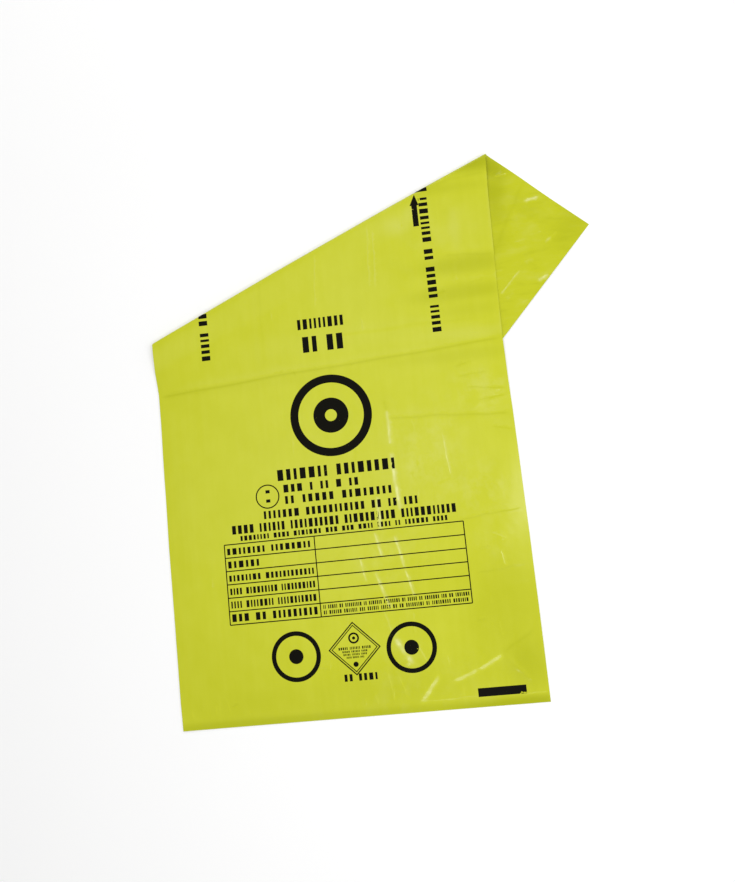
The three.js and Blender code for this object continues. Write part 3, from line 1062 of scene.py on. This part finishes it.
@dataclass
class PanelNet:
    """The triangles of one panel over the flat tube."""

    tube: FlatTube
    spacing: NetSpacing
    creases: tuple[Crease, ...]
    shapes: list[InkShape]
    seed: int
    across: Array = field(init=False)
    along: Array = field(init=False)
    triangles: Array = field(init=False)
    inked: Array = field(init=False)

    def side_stations(self, across: float) -> Array:
        """Heights of the mesh points along one side edge, closer together round the bend."""
        tube, step = self.tube, self.spacing.border
        slant = tube.fold_normal[1]
        start = tube.fold_height(across) + tube.bend_start / slant
        end = tube.fold_height(across) + tube.bend_end / slant
        low = np.linspace(tube.weld_height, start, math.ceil((start - tube.weld_height) / step) + 1)
        bend = np.linspace(start, end, self.spacing.bend_rows + 1)
        high = np.linspace(end, tube.length, math.ceil((tube.length - end) / step) + 1)
        return np.concatenate([[0.0], low, bend[1:], high[1:]])

    def cross_stations(self) -> Array:
        """Places of the mesh points across the bottom edge, the weld and the mouth."""
        tube = self.tube
        first, last = tube.edge_crease, tube.width - tube.edge_crease
        inner = np.linspace(first, last, math.ceil((last - first) / self.spacing.border) + 1)
        return np.concatenate([[0.0], inner, [tube.width]])

    def border_lines(self) -> list[Array]:
        """Lines of points that other faces share: the edges, the side creases and the weld."""
        tube = self.tube
        lines = []
        for edge in (0.0, tube.edge_crease, tube.width - tube.edge_crease, tube.width):
            heights = self.side_stations(0.0 if edge < tube.width / 2 else tube.width)
            lines.append(np.stack([np.full_like(heights, edge), heights], axis=1))
        for height in (0.0, tube.weld_height, tube.length):
            places = self.cross_stations()
            lines.append(np.stack([places, np.full_like(places, height)], axis=1))
        return lines

    def hexagonal(self, step: float, draw: np.random.Generator) -> Array:
        """Points over the whole tube on a slightly shaken triangular lattice."""
        tube = self.tube
        rows = np.arange(0.0, tube.length, step * math.sqrt(3) / 2)
        columns = np.arange(0.0, tube.width, step)
        x, y = np.meshgrid(columns, rows, indexing="ij")
        x = x + (np.arange(len(rows)) % 2)[None, :] * step / 2
        points = np.stack([x.ravel(), y.ravel()], axis=1)
        shake = self.spacing.shake
        return points + draw.uniform(-shake, shake, points.shape) * step

    def inner_points(self) -> Array:
        """Points inside the panel: close where it shows, and wide where it lies face down."""
        tube, spacing = self.tube, self.spacing
        draw = np.random.default_rng(self.seed)
        kept = []
        for step, zone in ((spacing.main, "main"), (spacing.flap, "flap"), (spacing.flap_corner, "corner")):
            points = self.hexagonal(step, draw)
            past = tube.past_fold(points[:, 0], points[:, 1])
            if zone == "main":
                kept.append(points[past < tube.bend_start - 0.5 * step])
                continue
            under_x, _ = tube.turned_under(points[:, 0], points[:, 1])
            shown = under_x > tube.width - spacing.shown_margin
            in_zone = shown if zone == "corner" else ~shown
            kept.append(points[(past > tube.bend_end + 0.5 * step) & in_zone])
        points, margin = np.concatenate([*kept, self.bend_points()]), spacing.border_margin
        across, along = points[:, 0], points[:, 1]
        inside = (tube.from_sides(across) > margin) & (along > margin) & (along < tube.length - margin)
        return points[inside & (np.abs(along - tube.weld_height) > margin)]

    def bend_points(self) -> Array:
        """Points in rows along the bend."""
        tube, spacing = self.tube, self.spacing
        normal, direction = tube.fold_normal, tube.fold_direction
        size = tube.width / direction[0]
        steps = np.linspace(0.0, size, math.ceil(size / spacing.bend_across) + 1)
        rows = np.linspace(tube.bend_start, tube.bend_end, spacing.bend_rows + 1)
        line, past = np.meshgrid(steps, rows, indexing="ij")
        x = line * direction[0] + past * normal[0]
        y = tube.fold_left + line * direction[1] + past * normal[1]
        return np.stack([x.ravel(), y.ravel()], axis=1)

    def crease_lines(self) -> list[Array]:
        """Points along each crease, kept off the panel's borders."""
        tube, spacing = self.tube, self.spacing
        lines = []
        for crease in self.creases:
            first, last = crease.ends
            run = last - first
            right = np.array([run[1], -run[0]]) / crease.size
            count = max(2, math.ceil(crease.size / spacing.crease))
            ahead = np.linspace(0.0, 1.0, count + 1)
            centre = first + run * ahead[:, None] + right * crease.wander(ahead)[:, None]
            for offset in crease.mesh_offsets:
                line = centre + right * (offset * crease.taper(ahead))[:, None]
                above_weld = line[:, 1] > tube.weld_height + spacing.weld_margin
                lines.append(line[(tube.from_sides(line[:, 0]) > spacing.crease_margin) & above_weld])
        return [line for line in lines if len(line) > 1]

    @staticmethod
    def clear_of(points: Array, lines: Iterable[Array], cell: float) -> Array:
        """Points that share no square cell of the given size with any of the lines' own points."""
        taken = {tuple(place) for line in lines for place in np.floor(line / cell).astype(int).tolist()}
        free = [tuple(place) not in taken for place in np.floor(points / cell).astype(int).tolist()]
        return points[np.array(free)]

    def undrifted(self, places: Array) -> Array:
        """Places of the print on the true flat tube, from where they lie once the film has drifted."""
        drift_x, drift_y = EdgeDrift().shift(self.tube, places[:, 0], places[:, 1])
        return places - np.stack([drift_x, drift_y], axis=1)

    def build(self) -> None:
        """Triangulates the panel, with its creases as edges and its print as faces."""
        borders, creases = self.border_lines(), self.crease_lines()
        outlines = [self.undrifted(np.array(shape.outline)) for shape in self.shapes]
        inner = self.clear_of(self.inner_points(), [*creases, *outlines], self.spacing.line_clearance)
        points, edges, faces = [], [], []
        at = 0
        for line in (*borders, *creases):
            points.append(line)
            edges += [(at + k, at + k + 1) for k in range(len(line) - 1)]
            at += len(line)
        for outline in outlines:
            points.append(outline)
            faces.append(list(range(at, at + len(outline))))
            at += len(outline)
        points.append(inner)
        flat = [Vector(place) for place in np.concatenate(points).tolist()]
        found = delaunay_2d_cdt(flat, edges, faces, 0, 1e-7, True)
        places = np.array([(v.x, v.y) for v in found[0]])
        self.across, self.along = places[:, 0], places[:, 1]
        self.triangles = np.array(found[2])
        tones = [self.shapes[max(origin)].tone if origin else Tone.BARE for origin in found[5]]
        self.inked = np.array([tone is Tone.INK for tone in tones])
        log.info("panel net: %d points, %d triangles", len(places), len(self.triangles))


@dataclass(frozen=True)
class FilmFinish:
    """Thin yellow blown film with a soft, patchy gloss, whose colour also carries painted sheen, highlights
    and shade.
    """

    name: str = "yellow_film"
    colour: Colour = (0.551, 0.580, 0.024, 1.0)
    deep_colour: Colour = (0.510, 0.539, 0.011, 1.0)
    pale_colour: Colour = (0.572, 0.600, 0.036, 1.0)
    # Colours of the painted haze sheen, the painted crease highlights and shade, and the painted sheen and
    # shade of the flap's wisps.
    haze_colour: Colour = (0.63, 0.65, 0.17, 1.0)
    pale_crease: Colour = (0.66, 0.68, 0.22, 1.0)
    deep_crease: Colour = (0.38, 0.41, 0.002, 1.0)
    pale_wisp: Colour = (0.60, 0.62, 0.10, 1.0)
    deep_wisp: Colour = (0.40, 0.43, 0.004, 1.0)
    roughness: Pair = (0.17, 0.25)
    specular: float = 0.22
    bump: float = 0.5

    def build(self) -> bpy.types.Material:
        """Makes the material.

        Returns:
            The film's material.
        """
        graph = NodeGraph(self.name)
        shader = graph.shader
        graph.link(graph.tint(self), shader.inputs["Base Color"])
        haze = graph.noise(14.0, 2.0, 0.5, (1.0, 0.5, 1.0))
        graph.link(graph.remap(haze, 0.3, 0.7, *self.roughness), shader.inputs["Roughness"])
        graph.link(graph.film_bump(self.bump), shader.inputs["Normal"])
        shader.inputs["Specular IOR Level"].default_value = self.specular
        return graph.material


@dataclass(frozen=True)
class InkFinish:
    """Black print on the film, rubbed through along the creases."""

    name: str = "black_print"
    colour: Colour = (0.0040, 0.0038, 0.0016, 1.0)
    roughness: float = 0.45
    specular: float = 0.05
    film: FilmFinish = FilmFinish()

    def build(self) -> bpy.types.Material:
        """Makes the material.

        Returns:
            The ink's material.
        """
        graph = NodeGraph(self.name)
        shader = graph.shader
        printed = graph.mix(graph.rubbed_through(), self.colour, graph.tint(self.film))
        graph.link(printed, shader.inputs["Base Color"])
        graph.link(graph.film_bump(self.film.bump), shader.inputs["Normal"])
        shader.inputs["Roughness"].default_value = self.roughness
        shader.inputs["Specular IOR Level"].default_value = self.specular
        return graph.material


@dataclass(frozen=True)
class FloorFinish:
    """A plain pale matt floor."""

    name: str = "pale_floor"
    colour: Colour = (0.96, 0.96, 0.957, 1.0)
    darkest: float = 0.985
    roughness: float = 0.85

    def build(self) -> bpy.types.Material:
        """Makes the material.

        Returns:
            The floor's material.
        """
        graph = NodeGraph(self.name)
        faint = graph.noise(3.0, 2.0, 0.5, own_coordinates=True)
        shade = graph.remap(faint, 0.0, 1.0, self.darkest, 1.0)
        graph.link(graph.scaled(self.colour, shade), graph.shader.inputs["Base Color"])
        graph.shader.inputs["Roughness"].default_value = self.roughness
        return graph.material


class NodeGraph:
    """A material under construction, with the few node groups that the finishes share."""

    PLACE = "flat_place"
    WEAR = "print_wear"
    # Painted shade along the fold, and a deeper colour over the flap.
    STACK = "film_stack"
    # Fine crinkle for the bump, and the mask of the painted haze sheen.
    CRINKLE = "film_crinkle"
    # Painted highlights, sheen and shade, with some crease whitening.
    TONE = "crease_tone"

    def __init__(self, name: str) -> None:
        """Starts an empty material with its shader.

        Args:
            name: Name of the material.
        """
        self.material = bpy.data.materials.new(name)
        self.material.use_nodes = True
        self.tree = self.material.node_tree
        self.shader = self.tree.nodes["Principled BSDF"]

    def link(self, source: Socket, target: Socket) -> None:
        """Joins two sockets."""
        self.tree.links.new(source, target)

    def attribute(self, name: str, output: str) -> Socket:
        """Value of a named attribute of the mesh."""
        node = self.tree.nodes.new("ShaderNodeAttribute")
        node.attribute_name = name
        return node.outputs[output]

    def film_place(self, stretch: Stretch = (1.0, 1.0, 1.0), turn_deg: float = 0.0) -> Socket:
        """Place on the flat film, turned back by an angle and then stretched along its axes."""
        where = self.attribute(self.PLACE, "Vector")
        if turn_deg:
            turned = self.tree.nodes.new("ShaderNodeMapping")
            turned.inputs["Rotation"].default_value = (0.0, 0.0, -math.radians(turn_deg))
            self.link(where, turned.inputs["Vector"])
            where = turned.outputs["Vector"]
        node = self.tree.nodes.new("ShaderNodeMapping")
        self.link(where, node.inputs["Vector"])
        node.inputs["Scale"].default_value = stretch
        return node.outputs["Vector"]

    def noise(
        self,
        scale: float,
        detail: float,
        roughness: float,
        stretch: Stretch = (1.0, 1.0, 1.0),
        own_coordinates: bool = False,
        turn_deg: float = 0.0,
    ) -> Socket:
        """Noise over the flat film, from 0 to 1.

        Args:
            scale: Cells to a metre.
            detail: Number of finer layers.
            roughness: Weight of the finer layers.
            stretch: Stretch of the film's axes.
            own_coordinates: True to use the object's own coordinates in place of the film's.
            turn_deg: Angle by which the film's axes are turned before they are stretched.

        Returns:
            The noise value.
        """
        node = self.tree.nodes.new("ShaderNodeTexNoise")
        node.inputs["Scale"].default_value = scale
        node.inputs["Detail"].default_value = detail
        node.inputs["Roughness"].default_value = roughness
        if own_coordinates:
            where = self.tree.nodes.new("ShaderNodeTexCoord").outputs["Object"]
        else:
            where = self.film_place(stretch, turn_deg)
        self.link(where, node.inputs["Vector"])
        return node.outputs["Fac"]

    def ridged(self, scale: float, stretch: Stretch) -> Socket:
        """Noise that runs in thin bent strands, like the wisps of crinkled film."""
        node = self.tree.nodes.new("ShaderNodeTexNoise")
        node.noise_type = "RIDGED_MULTIFRACTAL"
        node.normalize = True
        node.inputs["Scale"].default_value = scale
        node.inputs["Detail"].default_value = 3.0
        node.inputs["Roughness"].default_value = 0.6
        node.inputs["Distortion"].default_value = 0.6
        self.link(self.film_place(stretch), node.inputs["Vector"])
        return node.outputs["Fac"]

    def remap(self, value: Socket, low: float, high: float, to_low: float, to_high: float) -> Socket:
        """Maps a range of a value to another, and holds it there."""
        node = self.tree.nodes.new("ShaderNodeMapRange")
        self.link(value, node.inputs["Value"])
        ends = {"From Min": low, "From Max": high, "To Min": to_low, "To Max": to_high}
        for name, end in ends.items():
            node.inputs[name].default_value = end
        return node.outputs["Result"]

    def math(self, operation: str, first: Socket, second: Socket | float) -> Socket:
        """Sum, product or larger one of two values."""
        node = self.tree.nodes.new("ShaderNodeMath")
        node.operation = operation
        self.link(first, node.inputs[0])
        if isinstance(second, float):
            node.inputs[1].default_value = second
        else:
            self.link(second, node.inputs[1])
        return node.outputs["Value"]

    def mix(self, share: Socket, first: Socket | Colour, second: Socket | Colour) -> Socket:
        """Mixes two colours."""
        node = self.tree.nodes.new("ShaderNodeMix")
        node.data_type = "RGBA"
        self.link(share, node.inputs["Factor"])
        for colour, socket in ((first, node.inputs[6]), (second, node.inputs[7])):
            if isinstance(colour, tuple):
                socket.default_value = colour
            else:
                self.link(colour, socket)
        return node.outputs[2]

    def scaled(self, colour: Colour, shade: Socket) -> Socket:
        """A colour darkened by a value from 0 to 1."""
        return self.mix(shade, (0.0, 0.0, 0.0, 1.0), colour)

    def tint(self, film: FilmFinish) -> Socket:
        """Colour of the film: clouds, streaks, a deeper flap with painted shade at the fold, painted sheen
        and shade in the flap's wisps, painted haze sheen, and the creases' painted highlights and shade.
        """
        clouds = self.noise(9.0, 2.0, 0.5)
        patches = self.noise(42.0, 3.0, 0.55, (1.0, 0.6, 1.0))
        streaks = self.noise(120.0, 2.0, 0.5, (1.0, 0.05, 1.0))
        colour = self.mix(self.remap(clouds, 0.30, 0.75, 0.0, 0.8), film.colour, film.pale_colour)
        colour = self.mix(self.remap(patches, 0.35, 0.75, 0.0, 0.5), colour, film.deep_colour)
        colour = self.mix(self.remap(streaks, 0.35, 0.80, 0.0, 0.3), colour, film.deep_colour)
        # Painted shade along the fold, and a deeper colour over the flap.
        stack = self.attribute(self.STACK, "Fac")
        colour = self.mix(stack, colour, film.deep_colour)
        # Painted sheen and painted shade in wisps over the flap.
        wisps = self.noise(62.0, 3.0, 0.6, (0.30, 1.0, 1.0), turn_deg=FLAP_HEADING_DEG)
        in_flap = self.remap(stack, 0.60, 0.85, 0.0, 1.0)
        pale_wisps = self.math("MULTIPLY", self.remap(wisps, 0.52, 0.80, 0.0, 0.36), in_flap)
        deep_wisps = self.math("MULTIPLY", self.remap(wisps, 0.20, 0.46, 0.60, 0.0), in_flap)
        colour = self.mix(pale_wisps, colour, film.pale_wisp)
        colour = self.mix(deep_wisps, colour, film.deep_wisp)
        # Painted haze sheen where the film is crinkled.
        haze = self.remap(self.noise(44.0, 4.0, 0.62, (1.0, 0.75, 1.0)), 0.45, 0.74, 0.0, 0.50)
        haze = self.math("MULTIPLY", haze, self.attribute(self.CRINKLE, "Fac"))
        colour = self.mix(haze, colour, film.haze_colour)
        # Painted highlights and sheen above 0, painted shade below 0.
        tone = self.attribute(self.TONE, "Fac")
        colour = self.mix(self.remap(tone, 0.0, 1.0, 0.0, 0.9), colour, film.pale_crease)
        return self.mix(self.remap(tone, -1.0, 0.0, 0.9, 0.0), colour, film.deep_crease)

    def film_bump(self, strength: float) -> Socket:
        """Fine unevenness of the film: lengthwise drawing lines, small buckles and a fine grain."""
        lines = self.noise(300.0, 2.0, 0.5, (1.0, 0.03, 1.0))
        buckles = self.noise(70.0, 2.0, 0.5, (1.0, 0.5, 1.0))
        wisps = self.ridged(90.0, (0.8, 1.0, 1.0))
        crinkled = self.remap(self.attribute(self.CRINKLE, "Fac"), 0.12, 1.0, 0.0, 1.7)
        folded = self.math("MULTIPLY", wisps, crinkled)
        plain = self.math("ADD", self.math("MULTIPLY", lines, 0.05), self.math("MULTIPLY", buckles, 0.14))
        height = self.math("ADD", plain, folded)
        node = self.tree.nodes.new("ShaderNodeBump")
        node.inputs["Strength"].default_value = strength
        node.inputs["Distance"].default_value = 0.8 * MM
        self.link(height, node.inputs["Height"])
        return node.outputs["Normal"]

    def rubbed_through(self) -> Socket:
        """Where the print is rubbed off: along creases, with a few pinholes elsewhere."""
        specks = self.noise(620.0, 3.0, 0.6)
        chips = self.noise(230.0, 3.0, 0.6)
        worn = self.math("MULTIPLY", self.attribute(self.WEAR, "Fac"), 0.34)
        along_crease = self.remap(self.math("ADD", chips, worn), 0.74, 0.80, 0.0, 1.0)
        pinholes = self.remap(specks, 0.735, 0.76, 0.0, 0.8)
        return self.math("MAXIMUM", along_crease, pinholes)


@dataclass
class WasteBag:
    """The bag: one closed shell of film, creased, printed and folded."""

    tube: FlatTube
    name: str = "waste_bag_film"
    front_spacing: NetSpacing = NetSpacing(main=4.1 * MM, flap=14 * MM, flap_corner=14 * MM)
    back_spacing: NetSpacing = NetSpacing(main=13 * MM, flap=13 * MM, flap_corner=3.8 * MM)
    sharp_angle: float = math.radians(50)
    # Painted shade along the fold, and the deeper colour over the flap.
    bend_depth: float = 0.55
    bend_run: float = 9 * MM
    flap_depth: float = 0.85
    flap_run: float = 10 * MM
    join_distance: float = 0.002 * MM
    weld_reach: float = 0.01 * MM
    shape: FilmShape = field(init=False)

    def __post_init__(self) -> None:
        """Prepares the shape in which the film is laid down."""
        self.shape = FilmShape(self.tube)

    def nets(self) -> dict[Panel, PanelNet]:
        """Triangulates both panels.

        Returns:
            The net of each panel.
        """
        marks = PrintSheet().build()
        nets = {
            Panel.FRONT: PanelNet(self.tube, self.front_spacing, FRONT_CREASES, marks, 3),
            Panel.BACK: PanelNet(self.tube, self.back_spacing, FLAP_CREASES, [], 8),
        }
        for net in nets.values():
            net.build()
        return nets

    def skin(self, net: PanelNet, panel: Panel, outer: bool) -> Part:
        """One face of one panel's film, outside or inside the tube.

        Args:
            net: The panel's triangles on the flat tube.
            panel: The panel.
            outer: True for the outside of the tube.

        Returns:
            Flat places, places in the row's frame, triangles and which of those carry ink.
        """
        tube = self.tube
        wall = np.full_like(net.across, tube.wall if outer else 0.0)
        points = self.shape.points(net.across, net.along, panel, wall)
        kept = np.ones(len(net.triangles), dtype=bool)
        if not outer:
            middle_across = net.across[net.triangles].mean(axis=1)
            middle_along = net.along[net.triangles].mean(axis=1)
            above_weld = middle_along > tube.weld_height - self.weld_reach
            kept = (tube.from_sides(middle_across) > 0) & above_weld
        triangles, inked = net.triangles[kept], net.inked[kept] & outer
        if (panel is Panel.FRONT) != outer:
            triangles = triangles[:, ::-1]
        return self._flat(net.across, net.along, panel), points, triangles, inked

    def mouth_edge(self, net: PanelNet, panel: Panel) -> Part:
        """The cut edge of one panel's film at the mouth.

        Args:
            net: The panel's triangles on the flat tube.
            panel: The panel.

        Returns:
            The same four arrays as for a skin.
        """
        tube, places = self.tube, net.cross_stations()
        mouth = np.full_like(places, tube.length)
        inside = np.clip(places, tube.edge_crease, tube.width - tube.edge_crease)
        outer = self.shape.points(places, mouth, panel, np.full_like(places, tube.wall))
        inner = self.shape.points(inside, mouth, panel, np.zeros_like(places))
        return self._band(self._flat(places, mouth, panel), outer, inner, panel is Panel.FRONT)

    def bottom_edge(self, net: PanelNet) -> Part:
        """The cut edge along the bottom, across both welded walls."""
        places = net.cross_stations()
        cut, wall = np.zeros_like(places), np.full_like(places, self.tube.wall)
        back, front = (self.shape.points(places, cut, panel, wall) for panel in (Panel.BACK, Panel.FRONT))
        return self._band(self._flat(places, cut, Panel.FRONT), back, front, True)

    @staticmethod
    def _flat(across: Array, along: Array, panel: Panel) -> Array:
        """Flat places of points, with 1 as their third value in the back panel and 0 in the front one."""
        return np.stack([across, along, np.full_like(across, float(panel is Panel.BACK))], axis=1)

    @staticmethod
    def _band(flat: Array, first: Array, second: Array, forward: bool) -> Part:
        """Two triangles without ink between each pair of neighbouring points of two lines."""
        count = len(first)
        triangles = []
        for k in range(count - 1):
            a, b, c, d = k, k + 1, count + k + 1, count + k
            triangles += [(a, b, c), (a, c, d)]
        order = np.array(triangles)
        faces = order if forward else order[:, ::-1]
        inked = np.zeros(len(faces), dtype=bool)
        return np.tile(flat, (2, 1)), np.concatenate([first, second]), faces, inked

    def stack(self, flat: Array) -> Array:
        """How much deeper the colour is, from 0 to 1: painted shade along the fold, and a deeper colour
        over the flap.
        """
        across, along = flat[:, 0], flat[:, 1]
        past = self.tube.past_fold(across, along)
        # Painted shade along the fold.
        bend = np.exp(-np.abs(past) / self.bend_run) * self.bend_depth
        flap = ease((past - self.tube.bend_end) / self.flap_run) * self.flap_depth
        return np.clip(bend + flap, 0.0, 1.0)

    def build(self) -> bpy.types.Object:
        """Makes the bag's mesh object.

        Returns:
            The film, dressed and in place.
        """
        nets = self.nets()
        parts = []
        for panel, net in nets.items():
            parts += [self.skin(net, panel, outer) for outer in (True, False)]
            parts.append(self.mouth_edge(net, panel))
        parts.append(self.bottom_edge(nets[Panel.FRONT]))
        flats, points, triangles, inked = zip(*parts)
        starts = np.cumsum([0, *(len(places) for places in points[:-1])])
        triangles = [faces + start for faces, start in zip(triangles, starts)]
        mesh = self._mesh(*(np.concatenate(part) for part in (flats, points, triangles, inked)))
        film = bpy.data.objects.new(self.name, mesh)
        bpy.context.scene.collection.objects.link(film)
        return film

    def _mesh(self, flat: Array, points: Array, triangles: Array, inked: Array) -> bpy.types.Mesh:
        """Joins the parts of the shell at their shared points and dresses the mesh."""
        keys = np.round(points / self.join_distance).astype(np.int64)
        _, first, shared = np.unique(keys, axis=0, return_index=True, return_inverse=True)
        joined = shared.reshape(-1)[triangles]
        whole = np.all(joined != np.roll(joined, 1, axis=1), axis=1)
        joined, inked = joined[whole], inked[whole]
        points, flat = points[first], flat[first]
        mesh = bpy.data.meshes.new(self.name)
        mesh.from_pydata(points.tolist(), [], joined.tolist())
        mesh.materials.append(FilmFinish().build())
        mesh.materials.append(InkFinish().build())
        mesh.polygons.foreach_set("material_index", inked.astype(np.int32))
        relief, across, along = self.shape.relief, flat[:, 0], flat[:, 1]
        front_tone, flap_tone = (relief.tone(panel, across, along) for panel in (Panel.FRONT, Panel.BACK))
        self._attribute(mesh, NodeGraph.PLACE, flat)
        self._attribute(mesh, NodeGraph.WEAR, relief.wear(across, along))
        self._attribute(mesh, NodeGraph.STACK, self.stack(flat))
        self._attribute(mesh, NodeGraph.TONE, np.where(flat[:, 2] > 0.5, flap_tone, front_tone))
        self._attribute(mesh, NodeGraph.CRINKLE, relief.crinkle(across, along))
        mesh.shade_smooth()
        mesh.set_sharp_from_angle(angle=self.sharp_angle)
        self._sharpen_creases(mesh, flat)
        mesh.update()
        log.info("film: %d points, %d triangles, %d inked", len(points), len(joined), int(inked.sum()))
        return mesh

    def _sharpen_creases(self, mesh: bpy.types.Mesh, flat: Array) -> None:
        """Marks the edges along sharp creases, so that their flanks stay flat."""
        across, along, back = flat[:, 0], flat[:, 1], flat[:, 2] > 0.5
        front, flap = (
            np.logical_or.reduce([crease.sharp_points(across, along) for crease in creases])
            for creases in (FRONT_CREASES, FLAP_CREASES)
        )
        marked = np.where(back, flap, front)
        ends = np.empty(2 * len(mesh.edges), dtype=np.int32)
        mesh.edges.foreach_get("vertices", ends)
        ends = ends.reshape(-1, 2)
        sharp = np.zeros(len(mesh.edges), dtype=bool)
        mesh.attributes["sharp_edge"].data.foreach_get("value", sharp)
        sharp |= marked[ends[:, 0]] & marked[ends[:, 1]]
        mesh.attributes["sharp_edge"].data.foreach_set("value", sharp)

    @staticmethod
    def _attribute(mesh: bpy.types.Mesh, name: str, values: Array) -> None:
        """Stores one value or vector for each point of the mesh."""
        kind, key = ("FLOAT_VECTOR", "vector") if values.ndim == 2 else ("FLOAT", "value")
        made = mesh.attributes.new(name, kind, "POINT")
        made.data.foreach_set(key, np.ascontiguousarray(values, dtype=np.float32).ravel())

    def declare(self, film: bpy.types.Object) -> None:
        """Hides the CAD part that the film stands for, and hangs the film under the root body."""
        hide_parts("bag_film")
        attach(film, "root")


@dataclass(frozen=True)
class PhotoCamera:
    """The camera that looks down on the bag, slightly tilted and turned."""

    place: Place3 = (73.4 * MM, -144.9 * MM, 1086.4 * MM)
    turn_deg: tuple[float, float, float] = (6.415, 5.778, -5.767)
    lens_mm: float = 32.0
    sensor_mm: float = 36.0

    def build(self) -> bpy.types.Object:
        """Makes the camera and gives it to the scene."""
        data = bpy.data.cameras.new("camera")
        data.lens = self.lens_mm
        data.sensor_fit = "VERTICAL"
        data.sensor_height = self.sensor_mm
        data.clip_start = 0.01
        camera = bpy.data.objects.new("camera", data)
        tilt, lean, roll = (math.radians(angle) for angle in self.turn_deg)
        turn = Matrix.Rotation(roll, 4, "Z") @ Matrix.Rotation(lean, 4, "Y") @ Matrix.Rotation(tilt, 4, "X")
        camera.matrix_world = Matrix.Translation(Vector(self.place)) @ turn
        bpy.context.scene.collection.objects.link(camera)
        bpy.context.scene.camera = camera
        return camera


@dataclass(frozen=True)
class Softbox:
    """A rectangular lamp that points at a place on the floor."""

    name: str
    place: Place3
    target: Place3
    size: Pair
    watts: float

    def build(self) -> bpy.types.Object:
        """Makes the lamp."""
        data = bpy.data.lights.new(self.name, "AREA")
        data.shape = "RECTANGLE"
        data.size, data.size_y = self.size
        data.energy = self.watts
        lamp = bpy.data.objects.new(self.name, data)
        aim = Vector(self.target) - Vector(self.place)
        turn = aim.to_track_quat("-Z", "Y").to_matrix().to_4x4()
        lamp.matrix_world = Matrix.Translation(Vector(self.place)) @ turn
        bpy.context.scene.collection.objects.link(lamp)
        return lamp


@dataclass(frozen=True)
class Studio:
    """The plain pale floor and the plain soft light."""

    floor_size: float = 8.0
    floor_drop: float = 0.05 * MM
    sky: float = 0.62
    lamps: tuple[Softbox, ...] = (
        Softbox("overhead_softbox", (-0.34, 0.22, 1.90), (-0.1, 0.0, 0.0), (1.4, 1.0), 4.0),
        Softbox("right_strip", (0.91, -0.05, 1.22), (0.05, -0.05, 0.0), (0.16, 1.2), 6.0),
        Softbox("front_strip", (0.25, -1.05, 1.30), (0.05, -0.2, 0.0), (0.9, 0.10), 4.0),
        Softbox("back_softbox", (-0.3, 1.60, 1.20), (0.0, 0.0, 0.0), (1.6, 0.6), 7.5),
    )

    def build(self) -> None:
        """Makes the floor, the lamps and the even light around them."""
        mesh = bpy.data.meshes.new("floor")
        half, low = self.floor_size / 2, -self.floor_drop
        corners = [(-half, -half, low), (half, -half, low), (half, half, low), (-half, half, low)]
        mesh.from_pydata(corners, [], [(0, 1, 2, 3)])
        mesh.materials.append(FloorFinish().build())
        floor = bpy.data.objects.new("floor", mesh)
        bpy.context.scene.collection.objects.link(floor)
        for lamp in self.lamps:
            lamp.build()
        world = bpy.data.worlds.new("even_light")
        world.use_nodes = True
        background = world.node_tree.nodes["Background"]
        background.inputs["Color"].default_value = (1.0, 1.0, 1.0, 1.0)
        background.inputs["Strength"].default_value = self.sky
        bpy.context.scene.world = world


def write_sizes() -> None:
    """Brings the view layer up to date."""
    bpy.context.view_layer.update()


def main() -> None:
    """Builds the camera, the bag and its surroundings."""
    logging.basicConfig(level=logging.INFO)
    bpy.context.scene.view_settings.view_transform = "Standard"
    PhotoCamera().build()
    low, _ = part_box("bag_film")
    bag = WasteBag(FlatTube(origin=(low.x, low.y)))
    film = bag.build()
    bag.declare(film)
    log.info("piece %s: %d faces", film.name, len(film.data.polygons))
    Studio().build()
    write_sizes()


if __name__ == "__main__":
    main()
